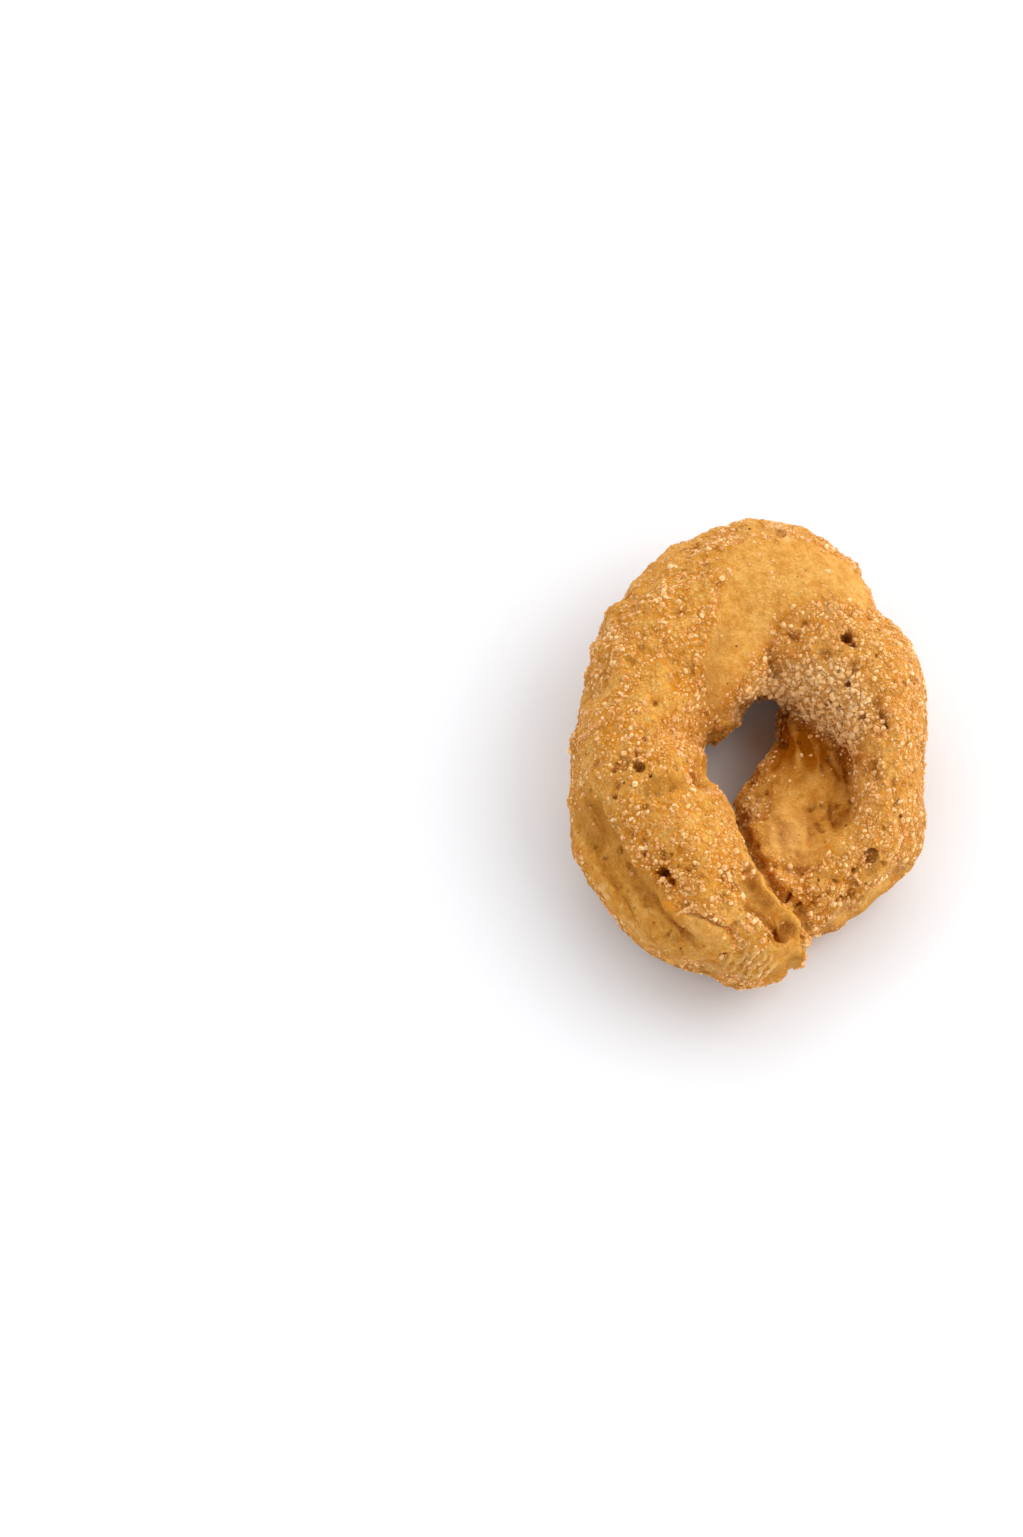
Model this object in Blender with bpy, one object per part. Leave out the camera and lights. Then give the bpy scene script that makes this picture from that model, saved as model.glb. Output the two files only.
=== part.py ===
"""A sugared tarallo: a strand of dough bent into an oval ring, its ends lapped, in coarse sugar.

Lengths are in millimetres and become metres at MM. The ring lies flat: +Z is up, +Y points to the
broad top lobe, and the lapped ends are at -Y. The origin is under the middle of the ring.
"""

import math

import bmesh
import bpy
import numpy as np
from mathutils import Euler, Vector

MM = 0.001

# The dough's strands, each a row of (x, y, z of its middle, half width, half height).
# The main strand starts at the end that lies on top, goes up the left side, over the broad
# top lobe and down the right side, to the end that is tucked under.
MAIN_STRAND = [
    (0.8, -28.4, 10.2, 6.6, 8.8),
    (-3.3, -26.0, 11.3, 8.4, 9.8),
    (-6.9, -20.8, 11.4, 9.4, 10.3),
    (-10.2, -15.0, 11.2, 9.9, 10.6),
    (-13.3, -8.6, 11.0, 10.1, 10.8),
    (-15.7, -2.6, 10.8, 9.4, 10.8),
    (-15.2, 3.4, 10.6, 9.6, 10.8),
    (-12.6, 10.7, 10.4, 11.3, 10.6),
    (-7.4, 17.0, 10.2, 13.2, 10.4),
    (-1.4, 21.1, 10.2, 13.6, 10.4),
    (4.0, 21.6, 10.2, 12.7, 10.4),
    (8.6, 19.0, 10.3, 11.3, 10.4),
    (12.2, 14.6, 10.5, 9.3, 10.4),
    (15.9, 10.0, 10.8, 9.0, 10.2),
    (18.3, 4.7, 11.0, 7.1, 9.8),
    (19.2, -1.0, 11.3, 5.4, 9.2),
    (19.1, -6.3, 11.4, 4.9, 9.0),
    (18.7, -11.2, 11.0, 4.9, 8.8),
    (16.8, -15.0, 10.2, 4.8, 8.4),
    (13.4, -17.8, 9.0, 4.8, 7.8),
    (9.6, -20.2, 8.0, 4.8, 7.4),
    (6.0, -22.4, 7.4, 4.6, 7.0),
]
# The right side is broad and low towards the hole: a ledge under the main strand.
LEDGE_STRAND = [
    (7.8, 10.5, 4.6, 3.8, 4.4),
    (9.6, 4.6, 5.0, 5.8, 5.0),
    (9.8, 0.0, 5.2, 8.0, 5.2),
    (8.9, -5.3, 5.6, 10.0, 5.6),
    (8.2, -9.5, 6.0, 10.6, 6.0),
    (7.0, -14.6, 6.6, 9.4, 6.6),
    (5.6, -19.6, 6.8, 7.0, 6.8),
]
# Sugar and dough heaped along the hole's upper rim.
RIM_STRAND = [
    (-4.2, 5.6, 8.4, 2.6, 4.4),
    (-1.6, 8.6, 8.8, 3.0, 4.8),
    (2.0, 11.2, 9.2, 3.4, 5.0),
    (6.0, 11.6, 9.6, 3.4, 4.8),
]
# The twist's outer fold, low on the left side.
FOLD_STRAND = [
    (-22.8, -5.0, 9.4, 2.2, 3.0),
    (-22.2, -11.2, 8.8, 2.8, 3.4),
    (-19.8, -17.4, 8.0, 3.2, 3.6),
    (-15.8, -22.8, 7.4, 3.4, 3.8),
    (-10.7, -26.9, 7.0, 3.4, 3.8),
    (-6.0, -29.6, 6.8, 3.4, 4.0),
    (-1.9, -31.0, 7.0, 3.4, 4.2),
]
# The narrow lip of dough that closes the lap.
LAP_STRAND = [
    (-0.8, -19.3, 17.0, 1.2, 2.6),
    (1.4, -22.4, 16.2, 1.6, 3.0),
    (3.8, -25.2, 14.6, 1.8, 3.4),
    (6.0, -27.3, 12.4, 2.0, 4.0),
    (7.2, -28.8, 9.0, 2.4, 5.0),
]
STRAND_SIDES = 40
STRAND_RINGS = 120
CAP_RINGS = 6

# The marks in the crust are drawn on a plane through the origin that faces an eye above and in
# front of the ring, and are carried from that eye onto the dough. A point on it is (u, v):
# u to the right and v up the leaning plane.
LEAN = math.radians(64)
EYE = np.array([-33.0, -392.5, 810.0])
EYE_DISTANCE = 900.0
ACROSS = np.array([1.0, 0.0, 0.0])
UPWARDS = np.array([0.0, math.sin(LEAN), math.cos(LEAN)])
TOWARDS_EYE = np.array([0.0, -math.cos(LEAN), math.sin(LEAN)])

# The bare band over the top lobe: its shallow valley, and its edge against the sugared lobe.
BAND_VALLEY = [(-4.6, 8.8), (-5.3, 13.3), (-5.0, 17.2), (-3.5, 21.4), (-1.3, 25.3), (1.8, 28.7), (6.3, 30.4)]
LOBE_LIP = [(-2.7, 11.9), (-1.0, 14.7), (1.4, 17.5), (4.1, 20.3)]
LOBE_LIP += [(4.6, 22.8), (8.8, 25.5), (14.7, 24.9), (18.3, 24.2)]
BAND_FAR_EDGE = [(17.5, 27.6), (11.3, 33.0), (2.7, 33.9), (-3.5, 29.4), (-6.4, 17.5), (-4.8, 8.8)]
# The crease across the left side, level with the hole.
WAIST_CREASE = [(-25.3, 0.4), (-15.0, -0.7), (-9.4, 0.4), (-5.5, 2.7)]
# The twist's fold low on the left: its valley, and the bare slope below the sugared lip.
FOLD_VALLEY = [(-22.5, -1.5), (-21.0, -5.7), (-15.5, -13.9), (-8.8, -20.9), (-5.5, -22.8)]
FOLD_LIP = [(-15.0, -13.3), (-8.5, -17.5), (-2.9, -19.7)]
FOLD_FAR_EDGE = [(-1.5, -22.5), (-4.9, -25.3), (-15.8, -21.4), (-22.3, -12.2), (-23.7, -1.5)]
# The lap: the groove beside its narrow lip, and the crevice where the ends meet.
LAP_GROOVE = [(-1.4, -12.2), (1.3, -17.5), (5.3, -21.4)]
LAP_CREVICE = [(-2.9, -2.9), (0.1, -9.1), (4.5, -14.8), (8.0, -20.3)]
# The bare ledge beside the hole.
LEDGE_EDGE = [(4.3, 11.1), (10.2, 7.7), (14.6, 3.2), (15.4, -3.8)]
LEDGE_EDGE += [(12.5, -9.9), (8.0, -11.3), (1.4, -9.0), (-0.4, -2.1)]
# Burst bubbles: u, v, radius, depth.
PITS = [(-12.4, -12.4, 0.9, 1.5), (14.0, 20.7, 0.9, 1.3), (5.2, -21.1, 1.0, 1.3), (17.6, 24.2, 1.0, 1.0)]

FUSE_VOXEL = 0.8
FUSE_SMOOTHING = 6
# The level pressed flat by the tray, and the middle of the ring's box, before the origin moves there.
BASE_LEVEL = 1.2
CENTRE = (-0.22, 0.25)
DOUGH_TRIANGLES = 5600
LUMP_SIZE = 8.0
LUMP_HEIGHT = 0.4
LUMP_SEED = 11
CRUST_SIZE = 2.6
CRUST_HEIGHT = 0.3
CRUST_SEED = 21

# Sugar crystals: the largest ones, as chamfered blocks.
CRYSTALS = 145
CRYSTAL_LENGTH = (0.9, 1.25)
CRYSTAL_GAP = 2.6
CRYSTAL_CLEAR_OF_BASE = 2.0
CRYSTAL_LIFT = 0.2
SEED = 5

DOUGH_COLOR = (0.60, 0.30, 0.10, 1.0)
DOUGH_ROUGHNESS = 0.6


def clear_scene():
    for thing in list(bpy.data.objects):
        bpy.data.objects.remove(thing)


def smooth_rows(rows, count):
    """A Catmull-Rom curve through the rows, read at even steps of chord length."""
    rows = np.array(rows)
    ends = np.vstack([2 * rows[0] - rows[1], rows, 2 * rows[-1] - rows[-2]])
    lengths = np.linalg.norm(np.diff(rows[:, :3], axis=0), axis=1)
    knots = np.concatenate([[0.0], np.cumsum(lengths)])
    places = np.linspace(0.0, knots[-1], count)
    span = np.clip(np.searchsorted(knots, places, side="right") - 1, 0, len(rows) - 2)
    t = ((places - knots[span]) / lengths[span])[:, None]
    a, b, c, d = ends[span], ends[span + 1], ends[span + 2], ends[span + 3]
    return 0.5 * (2 * b + (c - a) * t + (2 * a - 5 * b + 4 * c - d) * t**2 + (3 * b - a - 3 * c + d) * t**3)


def make_strand(name, rows):
    """A closed strand: ellipses carried along the rows' curve, with a rounded cap at each end."""
    path = smooth_rows(rows, STRAND_RINGS)
    along = np.gradient(path[:, :3], axis=0)
    along[:, 2] = 0.0
    along /= np.linalg.norm(along, axis=1)[:, None]
    rings = [(path[i, :3], along[i], path[i, 3], path[i, 4]) for i in range(STRAND_RINGS)]
    for end, sign in ((0, -1.0), (-1, 1.0)):
        middle, forward, width, height = rings[end]
        cap = []
        for step in range(1, CAP_RINGS):
            angle = math.pi / 2 * step / CAP_RINGS
            place = middle + sign * forward * width * math.sin(angle)
            cap.append((place, forward, width * math.cos(angle), height * math.cos(angle)))
        rings = cap[::-1] + rings if end == 0 else rings + cap
    tips = [path[0, :3] - along[0] * path[0, 3], path[-1, :3] + along[-1] * path[-1, 3]]

    mesh = bmesh.new()
    loops = []
    for middle, forward, width, height in rings:
        sideways = np.array([forward[1], -forward[0], 0.0])
        loop = []
        for side in range(STRAND_SIDES):
            turn = 2 * math.pi * side / STRAND_SIDES
            offset = sideways * width * math.cos(turn) + np.array([0.0, 0.0, height * math.sin(turn)])
            loop.append(mesh.verts.new((middle + offset) * MM))
        loops.append(loop)
    for low, high in zip(loops[:-1], loops[1:]):
        for side in range(STRAND_SIDES):
            other = (side + 1) % STRAND_SIDES
            mesh.faces.new((low[side], low[other], high[other], high[side]))
    for tip, loop in zip(tips, (loops[0], loops[-1])):
        point = mesh.verts.new(tip * MM)
        for side in range(STRAND_SIDES):
            mesh.faces.new((loop[side], loop[(side + 1) % STRAND_SIDES], point))
    bmesh.ops.recalc_face_normals(mesh, faces=mesh.faces)
    data = bpy.data.meshes.new(name)
    mesh.to_mesh(data)
    mesh.free()
    return data


def link(name, data):
    thing = bpy.data.objects.new(name, data)
    bpy.context.scene.collection.objects.link(thing)
    return thing


def apply_modifiers(thing):
    graph = bpy.context.evaluated_depsgraph_get()
    finished = bpy.data.meshes.new_from_object(thing.evaluated_get(graph))
    thing.modifiers.clear()
    thing.data = finished


def fuse_strands(name, strands):
    """The strands joined into one skin, by a voxel remesh that is then smoothed."""
    mesh = bmesh.new()
    for strand in strands:
        mesh.from_mesh(strand)
    rough = bpy.data.meshes.new(name)
    mesh.to_mesh(rough)
    mesh.free()
    dough = link(name, rough)
    remesh = dough.modifiers.new("fuse", "REMESH")
    remesh.mode = "VOXEL"
    remesh.voxel_size = FUSE_VOXEL * MM
    smooth = dough.modifiers.new("soften", "SMOOTH")
    smooth.factor = 0.5
    smooth.iterations = FUSE_SMOOTHING
    apply_modifiers(dough)
    return dough


def read_points(mesh, name):
    values = np.empty(len(mesh.vertices) * 3, np.float32)
    mesh.vertices.foreach_get(name, values)
    return values.reshape(-1, 3).astype(float)


def write_points(mesh, points):
    mesh.vertices.foreach_set("co", points.astype(np.float32).ravel())
    mesh.update()


def as_seen(points):
    """Where each point falls on the leaning plane, seen from the eye."""
    ray = points - EYE
    depth = -(ray @ TOWARDS_EYE)
    start = EYE - TOWARDS_EYE * EYE_DISTANCE
    u = (ray @ ACROSS) / depth * EYE_DISTANCE + start @ ACROSS
    v = (ray @ UPWARDS) / depth * EYE_DISTANCE + start @ UPWARDS
    return np.stack([u, v], axis=1)


def ramp(values, low, high):
    """0 below low, 1 above high, and a smooth S between."""
    t = np.clip((values - low) / (high - low), 0.0, 1.0)
    return t * t * (3.0 - 2.0 * t)


def ridge(distance, width):
    return np.exp(-((distance / width) ** 2))


def line_distance(places, line):
    """Distance from each place to the nearest point of a line."""
    line = np.array(line)
    best = np.full(len(places), np.inf)
    for start, end in zip(line[:-1], line[1:]):
        run = end - start
        share = np.clip(((places - start) @ run) / (run @ run), 0.0, 1.0)
        gap = np.linalg.norm(places - start - share[:, None] * run, axis=1)
        best = np.minimum(best, gap)
    return best


def depth_inside(places, outline):
    """Distance to a closed outline: above zero inside it, below zero outside."""
    corners = np.array(outline)
    odd = np.zeros(len(places), bool)
    for start, end in zip(corners, np.roll(corners, -1, axis=0)):
        crosses = (start[1] > places[:, 1]) != (end[1] > places[:, 1])
        rise = end[1] - start[1] if end[1] != start[1] else 1.0
        meets = start[0] + (end[0] - start[0]) * (places[:, 1] - start[1]) / rise
        odd ^= crosses & (places[:, 0] < meets)
    gap = line_distance(places, list(outline) + [outline[0]])
    return np.where(odd, gap, -gap)


def lumps(points, size, seed):
    """Smooth lumps from -1 to 1: random values at the corners of a grid, blended in between."""
    table = np.random.default_rng(seed).uniform(-1.0, 1.0, (32, 32, 32))
    cell = points / size + 100.0
    corner = np.floor(cell).astype(int)
    part = cell - corner
    part = part**3 * (part * (part * 6.0 - 15.0) + 10.0)
    total = np.zeros(len(points))
    for step in np.ndindex(2, 2, 2):
        weight = np.prod(np.where(step, part, 1.0 - part), axis=1)
        i, j, k = ((corner + step) % 32).T
        total += weight * table[i, j, k]
    return total


def crust_marks(points, normals):
    """How far each point of the crust stands out, and how bare of sugar it is."""
    seen = as_seen(points)
    front = ramp(normals @ TOWARDS_EYE, -0.05, 0.3)
    band = depth_inside(seen, LOBE_LIP + BAND_FAR_EDGE)
    fold = depth_inside(seen, FOLD_LIP + FOLD_FAR_EDGE)
    ledge = depth_inside(seen, LEDGE_EDGE)
    lip = line_distance(seen, LOBE_LIP)
    fold_lip = line_distance(seen, FOLD_LIP)

    height = -0.8 * ridge(line_distance(seen, BAND_VALLEY), 3.2)
    height += np.where(band < 0, 0.6 * ridge(lip - 0.8, 1.4), -0.5 * ridge(lip, 1.6))
    height += np.where(fold < 0, 0.5 * ridge(fold_lip - 0.6, 1.1), -0.4 * ridge(fold_lip, 1.1))
    height -= 0.5 * ridge(line_distance(seen, WAIST_CREASE), 1.3)
    height -= 1.0 * ridge(line_distance(seen, FOLD_VALLEY), 1.5)
    height -= 1.4 * ridge(line_distance(seen, LAP_GROOVE), 1.0)
    height -= 1.3 * ridge(line_distance(seen, LAP_CREVICE), 0.9)
    for u, v, radius, depth in PITS:
        gap = np.linalg.norm(seen - (u, v), axis=1)
        height -= depth * ridge(gap, radius)
    bare = front * ramp(np.maximum.reduce([band, fold, ledge]), -0.5, 0.9)
    height = height * front + LUMP_HEIGHT * lumps(points, LUMP_SIZE, LUMP_SEED)
    height += (1.0 - 0.8 * bare) * CRUST_HEIGHT * lumps(points, CRUST_SIZE, CRUST_SEED)
    return height, bare


def press_marks(dough):
    mesh = dough.data
    points = read_points(mesh, "co") / MM
    normals = read_points(mesh, "normal")
    height, _ = crust_marks(points, normals)
    write_points(mesh, (points + normals * height[:, None]) * MM)


def spare_triangles(dough):
    """Leaves large triangles where the dough is plain and small ones in its folds."""
    dough.data.calc_loop_triangles()
    fewer = dough.modifiers.new("fewer", "DECIMATE")
    fewer.ratio = DOUGH_TRIANGLES / len(dough.data.loop_triangles)
    fewer.use_collapse_triangulate = True
    apply_modifiers(dough)


def flatten_base(dough):
    """Presses what is below the base level flat, as on a baking tray, and sets the origin."""
    mesh = dough.data
    points = read_points(mesh, "co") / MM
    points[:, :2] -= CENTRE
    points[:, 2] = np.maximum(points[:, 2] - BASE_LEVEL, 0.0)
    write_points(mesh, points * MM)


def crystal(mesh, place, turn, length):
    """Adds one sugar crystal: a block with its four upright edges chamfered."""
    half = Vector((length / 2, length * 0.42, length * 0.36))
    chamfer = length * 0.16
    corners = [(half.x, half.y - chamfer), (half.x - chamfer, half.y)]
    outline = corners + [(-x, y) for x, y in corners[::-1]]
    outline += [(-x, -y) for x, y in outline]
    rings = []
    for z in (-half.z, half.z):
        rings.append([mesh.verts.new((place + turn @ Vector((x, y, z))) * MM) for x, y in outline])
    low, high = rings
    count = len(outline)
    for side in range(count):
        other = (side + 1) % count
        mesh.faces.new((low[side], low[other], high[other], high[side]))
    mesh.faces.new(low[::-1])
    mesh.faces.new(high)


def crystal_places(dough, draw):
    """Spots on the sugared crust, spread by a least gap, each with the crust's normal there."""
    mesh = dough.data
    mesh.calc_loop_triangles()
    triangles = [t for t in mesh.loop_triangles if t.area > 0.0]
    corners = np.array([[mesh.vertices[i].co for i in t.vertices] for t in triangles]) / MM
    normals = np.array([t.normal for t in triangles])
    middles = corners.mean(axis=1)
    _, bare = crust_marks(middles + (*CENTRE, BASE_LEVEL), normals)
    chance = np.array([t.area for t in triangles]) * (1.0 - bare)
    chance[middles[:, 2] < CRYSTAL_CLEAR_OF_BASE] = 0.0
    spots = []
    for index in draw.choice(len(triangles), size=len(triangles), p=chance / chance.sum()):
        first, second = sorted(draw.random(2))
        shares = np.array([first, second - first, 1.0 - second])
        spot = Vector(shares @ corners[index])
        if all((spot - other).length > CRYSTAL_GAP for other, _ in spots):
            spots.append((spot, Vector(normals[index])))
        if len(spots) == CRYSTALS:
            break
    return spots


def fuse_crystals(dough):
    """Joins the crystals to the crust by one union, the largest first where they are spread."""
    draw = np.random.default_rng(SEED)
    mesh = bmesh.new()
    for spot, normal in crystal_places(dough, draw):
        length = draw.uniform(*CRYSTAL_LENGTH)
        turn = Euler(draw.uniform(0.0, 2 * math.pi, 3)).to_matrix()
        crystal(mesh, spot + normal * length * CRYSTAL_LIFT, turn, length)
    data = bpy.data.meshes.new("crystals")
    mesh.to_mesh(data)
    mesh.free()
    sugar = bpy.data.collections.new("sugar")
    sugar.objects.link(bpy.data.objects.new("crystals", data))
    union = dough.modifiers.new("sugar", "BOOLEAN")
    union.operation = "UNION"
    union.operand_type = "COLLECTION"
    union.collection = sugar
    union.solver = "MANIFOLD"
    apply_modifiers(dough)
    for thing in list(sugar.objects):
        bpy.data.objects.remove(thing)
    bpy.data.collections.remove(sugar)


def keep_largest_shell(dough):
    """Drops loose scraps and the skins of sealed hollows, which fills them."""
    mesh = bmesh.new()
    mesh.from_mesh(dough.data)
    waiting = set(mesh.verts)
    shells = []
    while waiting:
        start = waiting.pop()
        shell = {start}
        unread = [start]
        while unread:
            vert = unread.pop()
            fresh = {edge.other_vert(vert) for edge in vert.link_edges} - shell
            shell |= fresh
            unread.extend(fresh)
        waiting -= shell
        shells.append(shell)
    largest = max(shells, key=len)
    scraps = [vert for vert in mesh.verts if vert not in largest]
    bmesh.ops.delete(mesh, geom=scraps, context="VERTS")
    bmesh.ops.triangulate(mesh, faces=mesh.faces)
    mesh.to_mesh(dough.data)
    mesh.free()


def bake_finish(dough):
    material = bpy.data.materials.new("baked sugared dough")
    material.use_nodes = True
    finish = material.node_tree.nodes["Principled BSDF"]
    finish.inputs["Base Color"].default_value = DOUGH_COLOR
    finish.inputs["Roughness"].default_value = DOUGH_ROUGHNESS
    finish.inputs["Metallic"].default_value = 0.0
    dough.data.materials.clear()
    dough.data.materials.append(material)
    dough.data.shade_smooth()


def build_tarallo():
    clear_scene()
    rows = [MAIN_STRAND, LEDGE_STRAND, RIM_STRAND, FOLD_STRAND, LAP_STRAND]
    strands = [make_strand("strand", row) for row in rows]
    dough = fuse_strands("tarallo", strands)
    press_marks(dough)
    spare_triangles(dough)
    flatten_base(dough)
    fuse_crystals(dough)
    keep_largest_shell(dough)
    bake_finish(dough)


build_tarallo()
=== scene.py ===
# %% [markdown]
# # A sugared tarallo
# A tarallo is a strand of dough bent into a ring and baked. This one is sweet: its two ends are
# lapped at the bottom, the ring lies a little twisted, and coarse sugar has half melted into the
# crust. We dress its plain CAD solid. The solid gives the place and the size, and the dough here
# follows the same strands at a finer grain, so the two can be compared at any point.

# %% The fixed frame
import math

import bpy
import numpy as np
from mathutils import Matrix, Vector


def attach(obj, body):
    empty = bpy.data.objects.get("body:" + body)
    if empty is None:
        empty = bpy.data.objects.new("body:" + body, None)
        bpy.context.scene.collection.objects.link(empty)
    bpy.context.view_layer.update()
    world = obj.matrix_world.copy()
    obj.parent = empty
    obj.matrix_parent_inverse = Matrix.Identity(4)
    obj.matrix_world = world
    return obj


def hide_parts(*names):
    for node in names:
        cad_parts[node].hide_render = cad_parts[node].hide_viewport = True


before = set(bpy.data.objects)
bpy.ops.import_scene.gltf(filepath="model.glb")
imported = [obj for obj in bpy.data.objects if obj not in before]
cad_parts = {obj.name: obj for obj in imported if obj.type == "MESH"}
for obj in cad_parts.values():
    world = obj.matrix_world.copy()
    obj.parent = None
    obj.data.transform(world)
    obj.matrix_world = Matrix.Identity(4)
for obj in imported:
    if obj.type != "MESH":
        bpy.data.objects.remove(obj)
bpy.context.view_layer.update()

# %% [markdown]
# ## Units and the point of view
# The shapes are worked out in millimetres, about a working origin near the ring's middle, and
# become metres in the frame at the last step. The ring is looked down on at 64 degrees from in
# front. The plane through the origin that faces the eye is where the marks in the crust are
# drawn later, so the camera and the marks share these values.

# %% Units and the eye
MM = 0.001
RING_MIDDLE = np.array([-0.22, 0.25, 1.2])
LEAN = math.radians(64)
EYE = np.array([-33.0, -392.5, 810.0])
EYE_DISTANCE = 900.0
ACROSS = np.array([1.0, 0.0, 0.0])
UPWARDS = np.array([0.0, math.sin(LEAN), math.cos(LEAN)])
TOWARDS_EYE = np.array([0.0, -math.cos(LEAN), math.sin(LEAN)])
print("the eye looks down at", round(math.degrees(LEAN)), "degrees")

# %% [markdown]
# ## The camera
# A long lens far away keeps the ring's shape true. The picture is 1537 pixels high, and each
# pixel covers 0.14 mm at the ring, so the lens follows from the sensor, the distance and that.

# %% Camera
PICTURE_HEIGHT = 1537
MM_PER_PIXEL = 0.14
SENSOR = 36.0

lens = bpy.data.cameras.new("camera")
lens.sensor_width = SENSOR
lens.lens = SENSOR * EYE_DISTANCE / (PICTURE_HEIGHT * MM_PER_PIXEL)
lens.clip_start = 0.01
camera = bpy.data.objects.new("camera", lens)
bpy.context.scene.collection.objects.link(camera)
camera.location = Vector((EYE - RING_MIDDLE) * MM)
camera.rotation_mode = "QUATERNION"
camera.rotation_quaternion = Vector(-TOWARDS_EYE).to_track_quat("-Z", "Y")
bpy.context.scene.camera = camera
print("lens", round(lens.lens, 1), "mm")

# %% [markdown]
# ## Tools for node graphs
# The sky and every finish are small graphs of nodes. These helpers add a node with its settings
# and wire it, so that each graph below reads as a list of steps.

# %% Node helpers
def new_material(name):
    """A material, its graph of nodes, and the node that is its surface."""
    material = bpy.data.materials.new(name)
    material.use_nodes = True
    tree = material.node_tree
    return material, tree, tree.nodes["Principled BSDF"]


def add(tree, kind, inputs=None, **settings):
    """A new node of a kind. A value in inputs is set or, if it is another node's output, wired."""
    node = tree.nodes.new("ShaderNode" + kind)
    for name, value in settings.items():
        setattr(node, name, value)
    for name, value in (inputs or {}).items():
        if isinstance(value, bpy.types.NodeSocket):
            tree.links.new(value, node.inputs[name])
        else:
            node.inputs[name].default_value = value
    return node


def maths(tree, operation, a, b=0.0):
    """One step of arithmetic on two numbers."""
    return add(tree, "Math", {0: a, 1: b}, operation=operation).outputs[0]


def product(tree, first, *others):
    """All the parts multiplied together."""
    for other in others:
        first = maths(tree, "MULTIPLY", first, other)
    return first


def between(tree, value, low, high, at_low=0.0, at_high=1.0):
    """at_low where the value is low, at_high where it is high, even in between and level past both."""
    inputs = {"Value": value, "From Min": low, "From Max": high, "To Min": at_low, "To Max": at_high}
    return add(tree, "MapRange", inputs).outputs["Result"]


print("helpers:", ", ".join(helper.__name__ for helper in (new_material, add, maths, product, between)))

# %% [markdown]
# ## Floor and light
# The ring lies on a plain pale floor, in soft light that comes mostly from the sides, as in a
# white tent with a dark opening at the top. So the shadows stay soft and close to the ring, and
# the floor in the hole is dark. One broad lamp on the right gives the grains their glints.

# %% Floor
FLOOR_HALF = 1.5
FLOOR_COLOUR = (0.85, 0.86, 0.885, 1.0)
FLOOR_ROUGHNESS = 0.9
FLOOR_GLOSS = 0.1

corners = [(x * FLOOR_HALF, y * FLOOR_HALF, 0.0) for x, y in ((-1, -1), (1, -1), (1, 1), (-1, 1))]
floor_mesh = bpy.data.meshes.new("floor")
floor_mesh.from_pydata(corners, [], [(0, 1, 2, 3)])
floor = bpy.data.objects.new("floor", floor_mesh)
bpy.context.scene.collection.objects.link(floor)
paper, _, paper_surface = new_material("pale floor")
paper_surface.inputs["Base Color"].default_value = FLOOR_COLOUR
paper_surface.inputs["Roughness"].default_value = FLOOR_ROUGHNESS
paper_surface.inputs["Specular IOR Level"].default_value = FLOOR_GLOSS
floor_mesh.materials.append(paper)
print("floor", 2 * FLOOR_HALF, "m wide")

# %% Sky
# an axis, the span of the direction's share along it, and the strength at the span's two ends
DARK_OPENING = ((0.0, -0.26, 0.966), (0.94, 0.60), (0.03, 2.20))
HORIZON = ((0.0, 0.0, 1.0), (0.0, 0.5), (0.5, 1.0))
LEFT_WALL = ((-1.0, 0.0, 0.0), (0.2, 0.9), (1.0, 0.58))

sky = bpy.data.worlds.new("sky")
sky.use_nodes = True
direction = add(sky.node_tree, "TexCoord").outputs["Generated"]


def sky_part(axis, span, ends):
    """Goes from one end value to the other as the direction's share along the axis crosses the span."""
    along = add(sky.node_tree, "VectorMath", {0: direction, 1: axis}, operation="DOT_PRODUCT")
    return between(sky.node_tree, along.outputs["Value"], *span, *ends)


glow = sky.node_tree.nodes["Background"]
glow.inputs["Color"].default_value = (1.0, 1.0, 1.0, 1.0)
strength = product(sky.node_tree, *[sky_part(*part) for part in (DARK_OPENING, HORIZON, LEFT_WALL)])
sky.node_tree.links.new(strength, glow.inputs["Strength"])
bpy.context.scene.world = sky
bpy.context.scene.view_settings.view_transform = "Standard"
print("sky strength: %.2f in the opening, %.2f round it" % DARK_OPENING[2])

# %% Lamp
LAMP_SIZE = 0.50
LAMP_POWER = 1.09
LAMP_PLACE = (0.45, 0.10, 0.41)

lamp_data = bpy.data.lights.new("soft lamp", "AREA")
lamp_data.shape = "DISK"
lamp_data.size = LAMP_SIZE
lamp_data.energy = LAMP_POWER
lamp = bpy.data.objects.new("soft lamp", lamp_data)
bpy.context.scene.collection.objects.link(lamp)
lamp.location = LAMP_PLACE
lamp.rotation_mode = "QUATERNION"
lamp.rotation_quaternion = (-Vector(LAMP_PLACE)).to_track_quat("-Z", "Y")
print("lamp", LAMP_POWER, "W,", LAMP_SIZE, "m wide")

# %% [markdown]
# ## The dough's strands
# The baker rolls one strand and bends it round. It is thick over the top lobe and thin down the
# right side, where a lower ledge has spread towards the hole. We give each strand as a short row
# of stations: a place, a half width and a half height. A smooth curve runs through them, and an
# ellipse carried along it makes the skin. Five strands make the whole: the ring, the ledge, the
# rim heaped over the hole, the fold low on the left and the lip that closes the lap.

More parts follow.
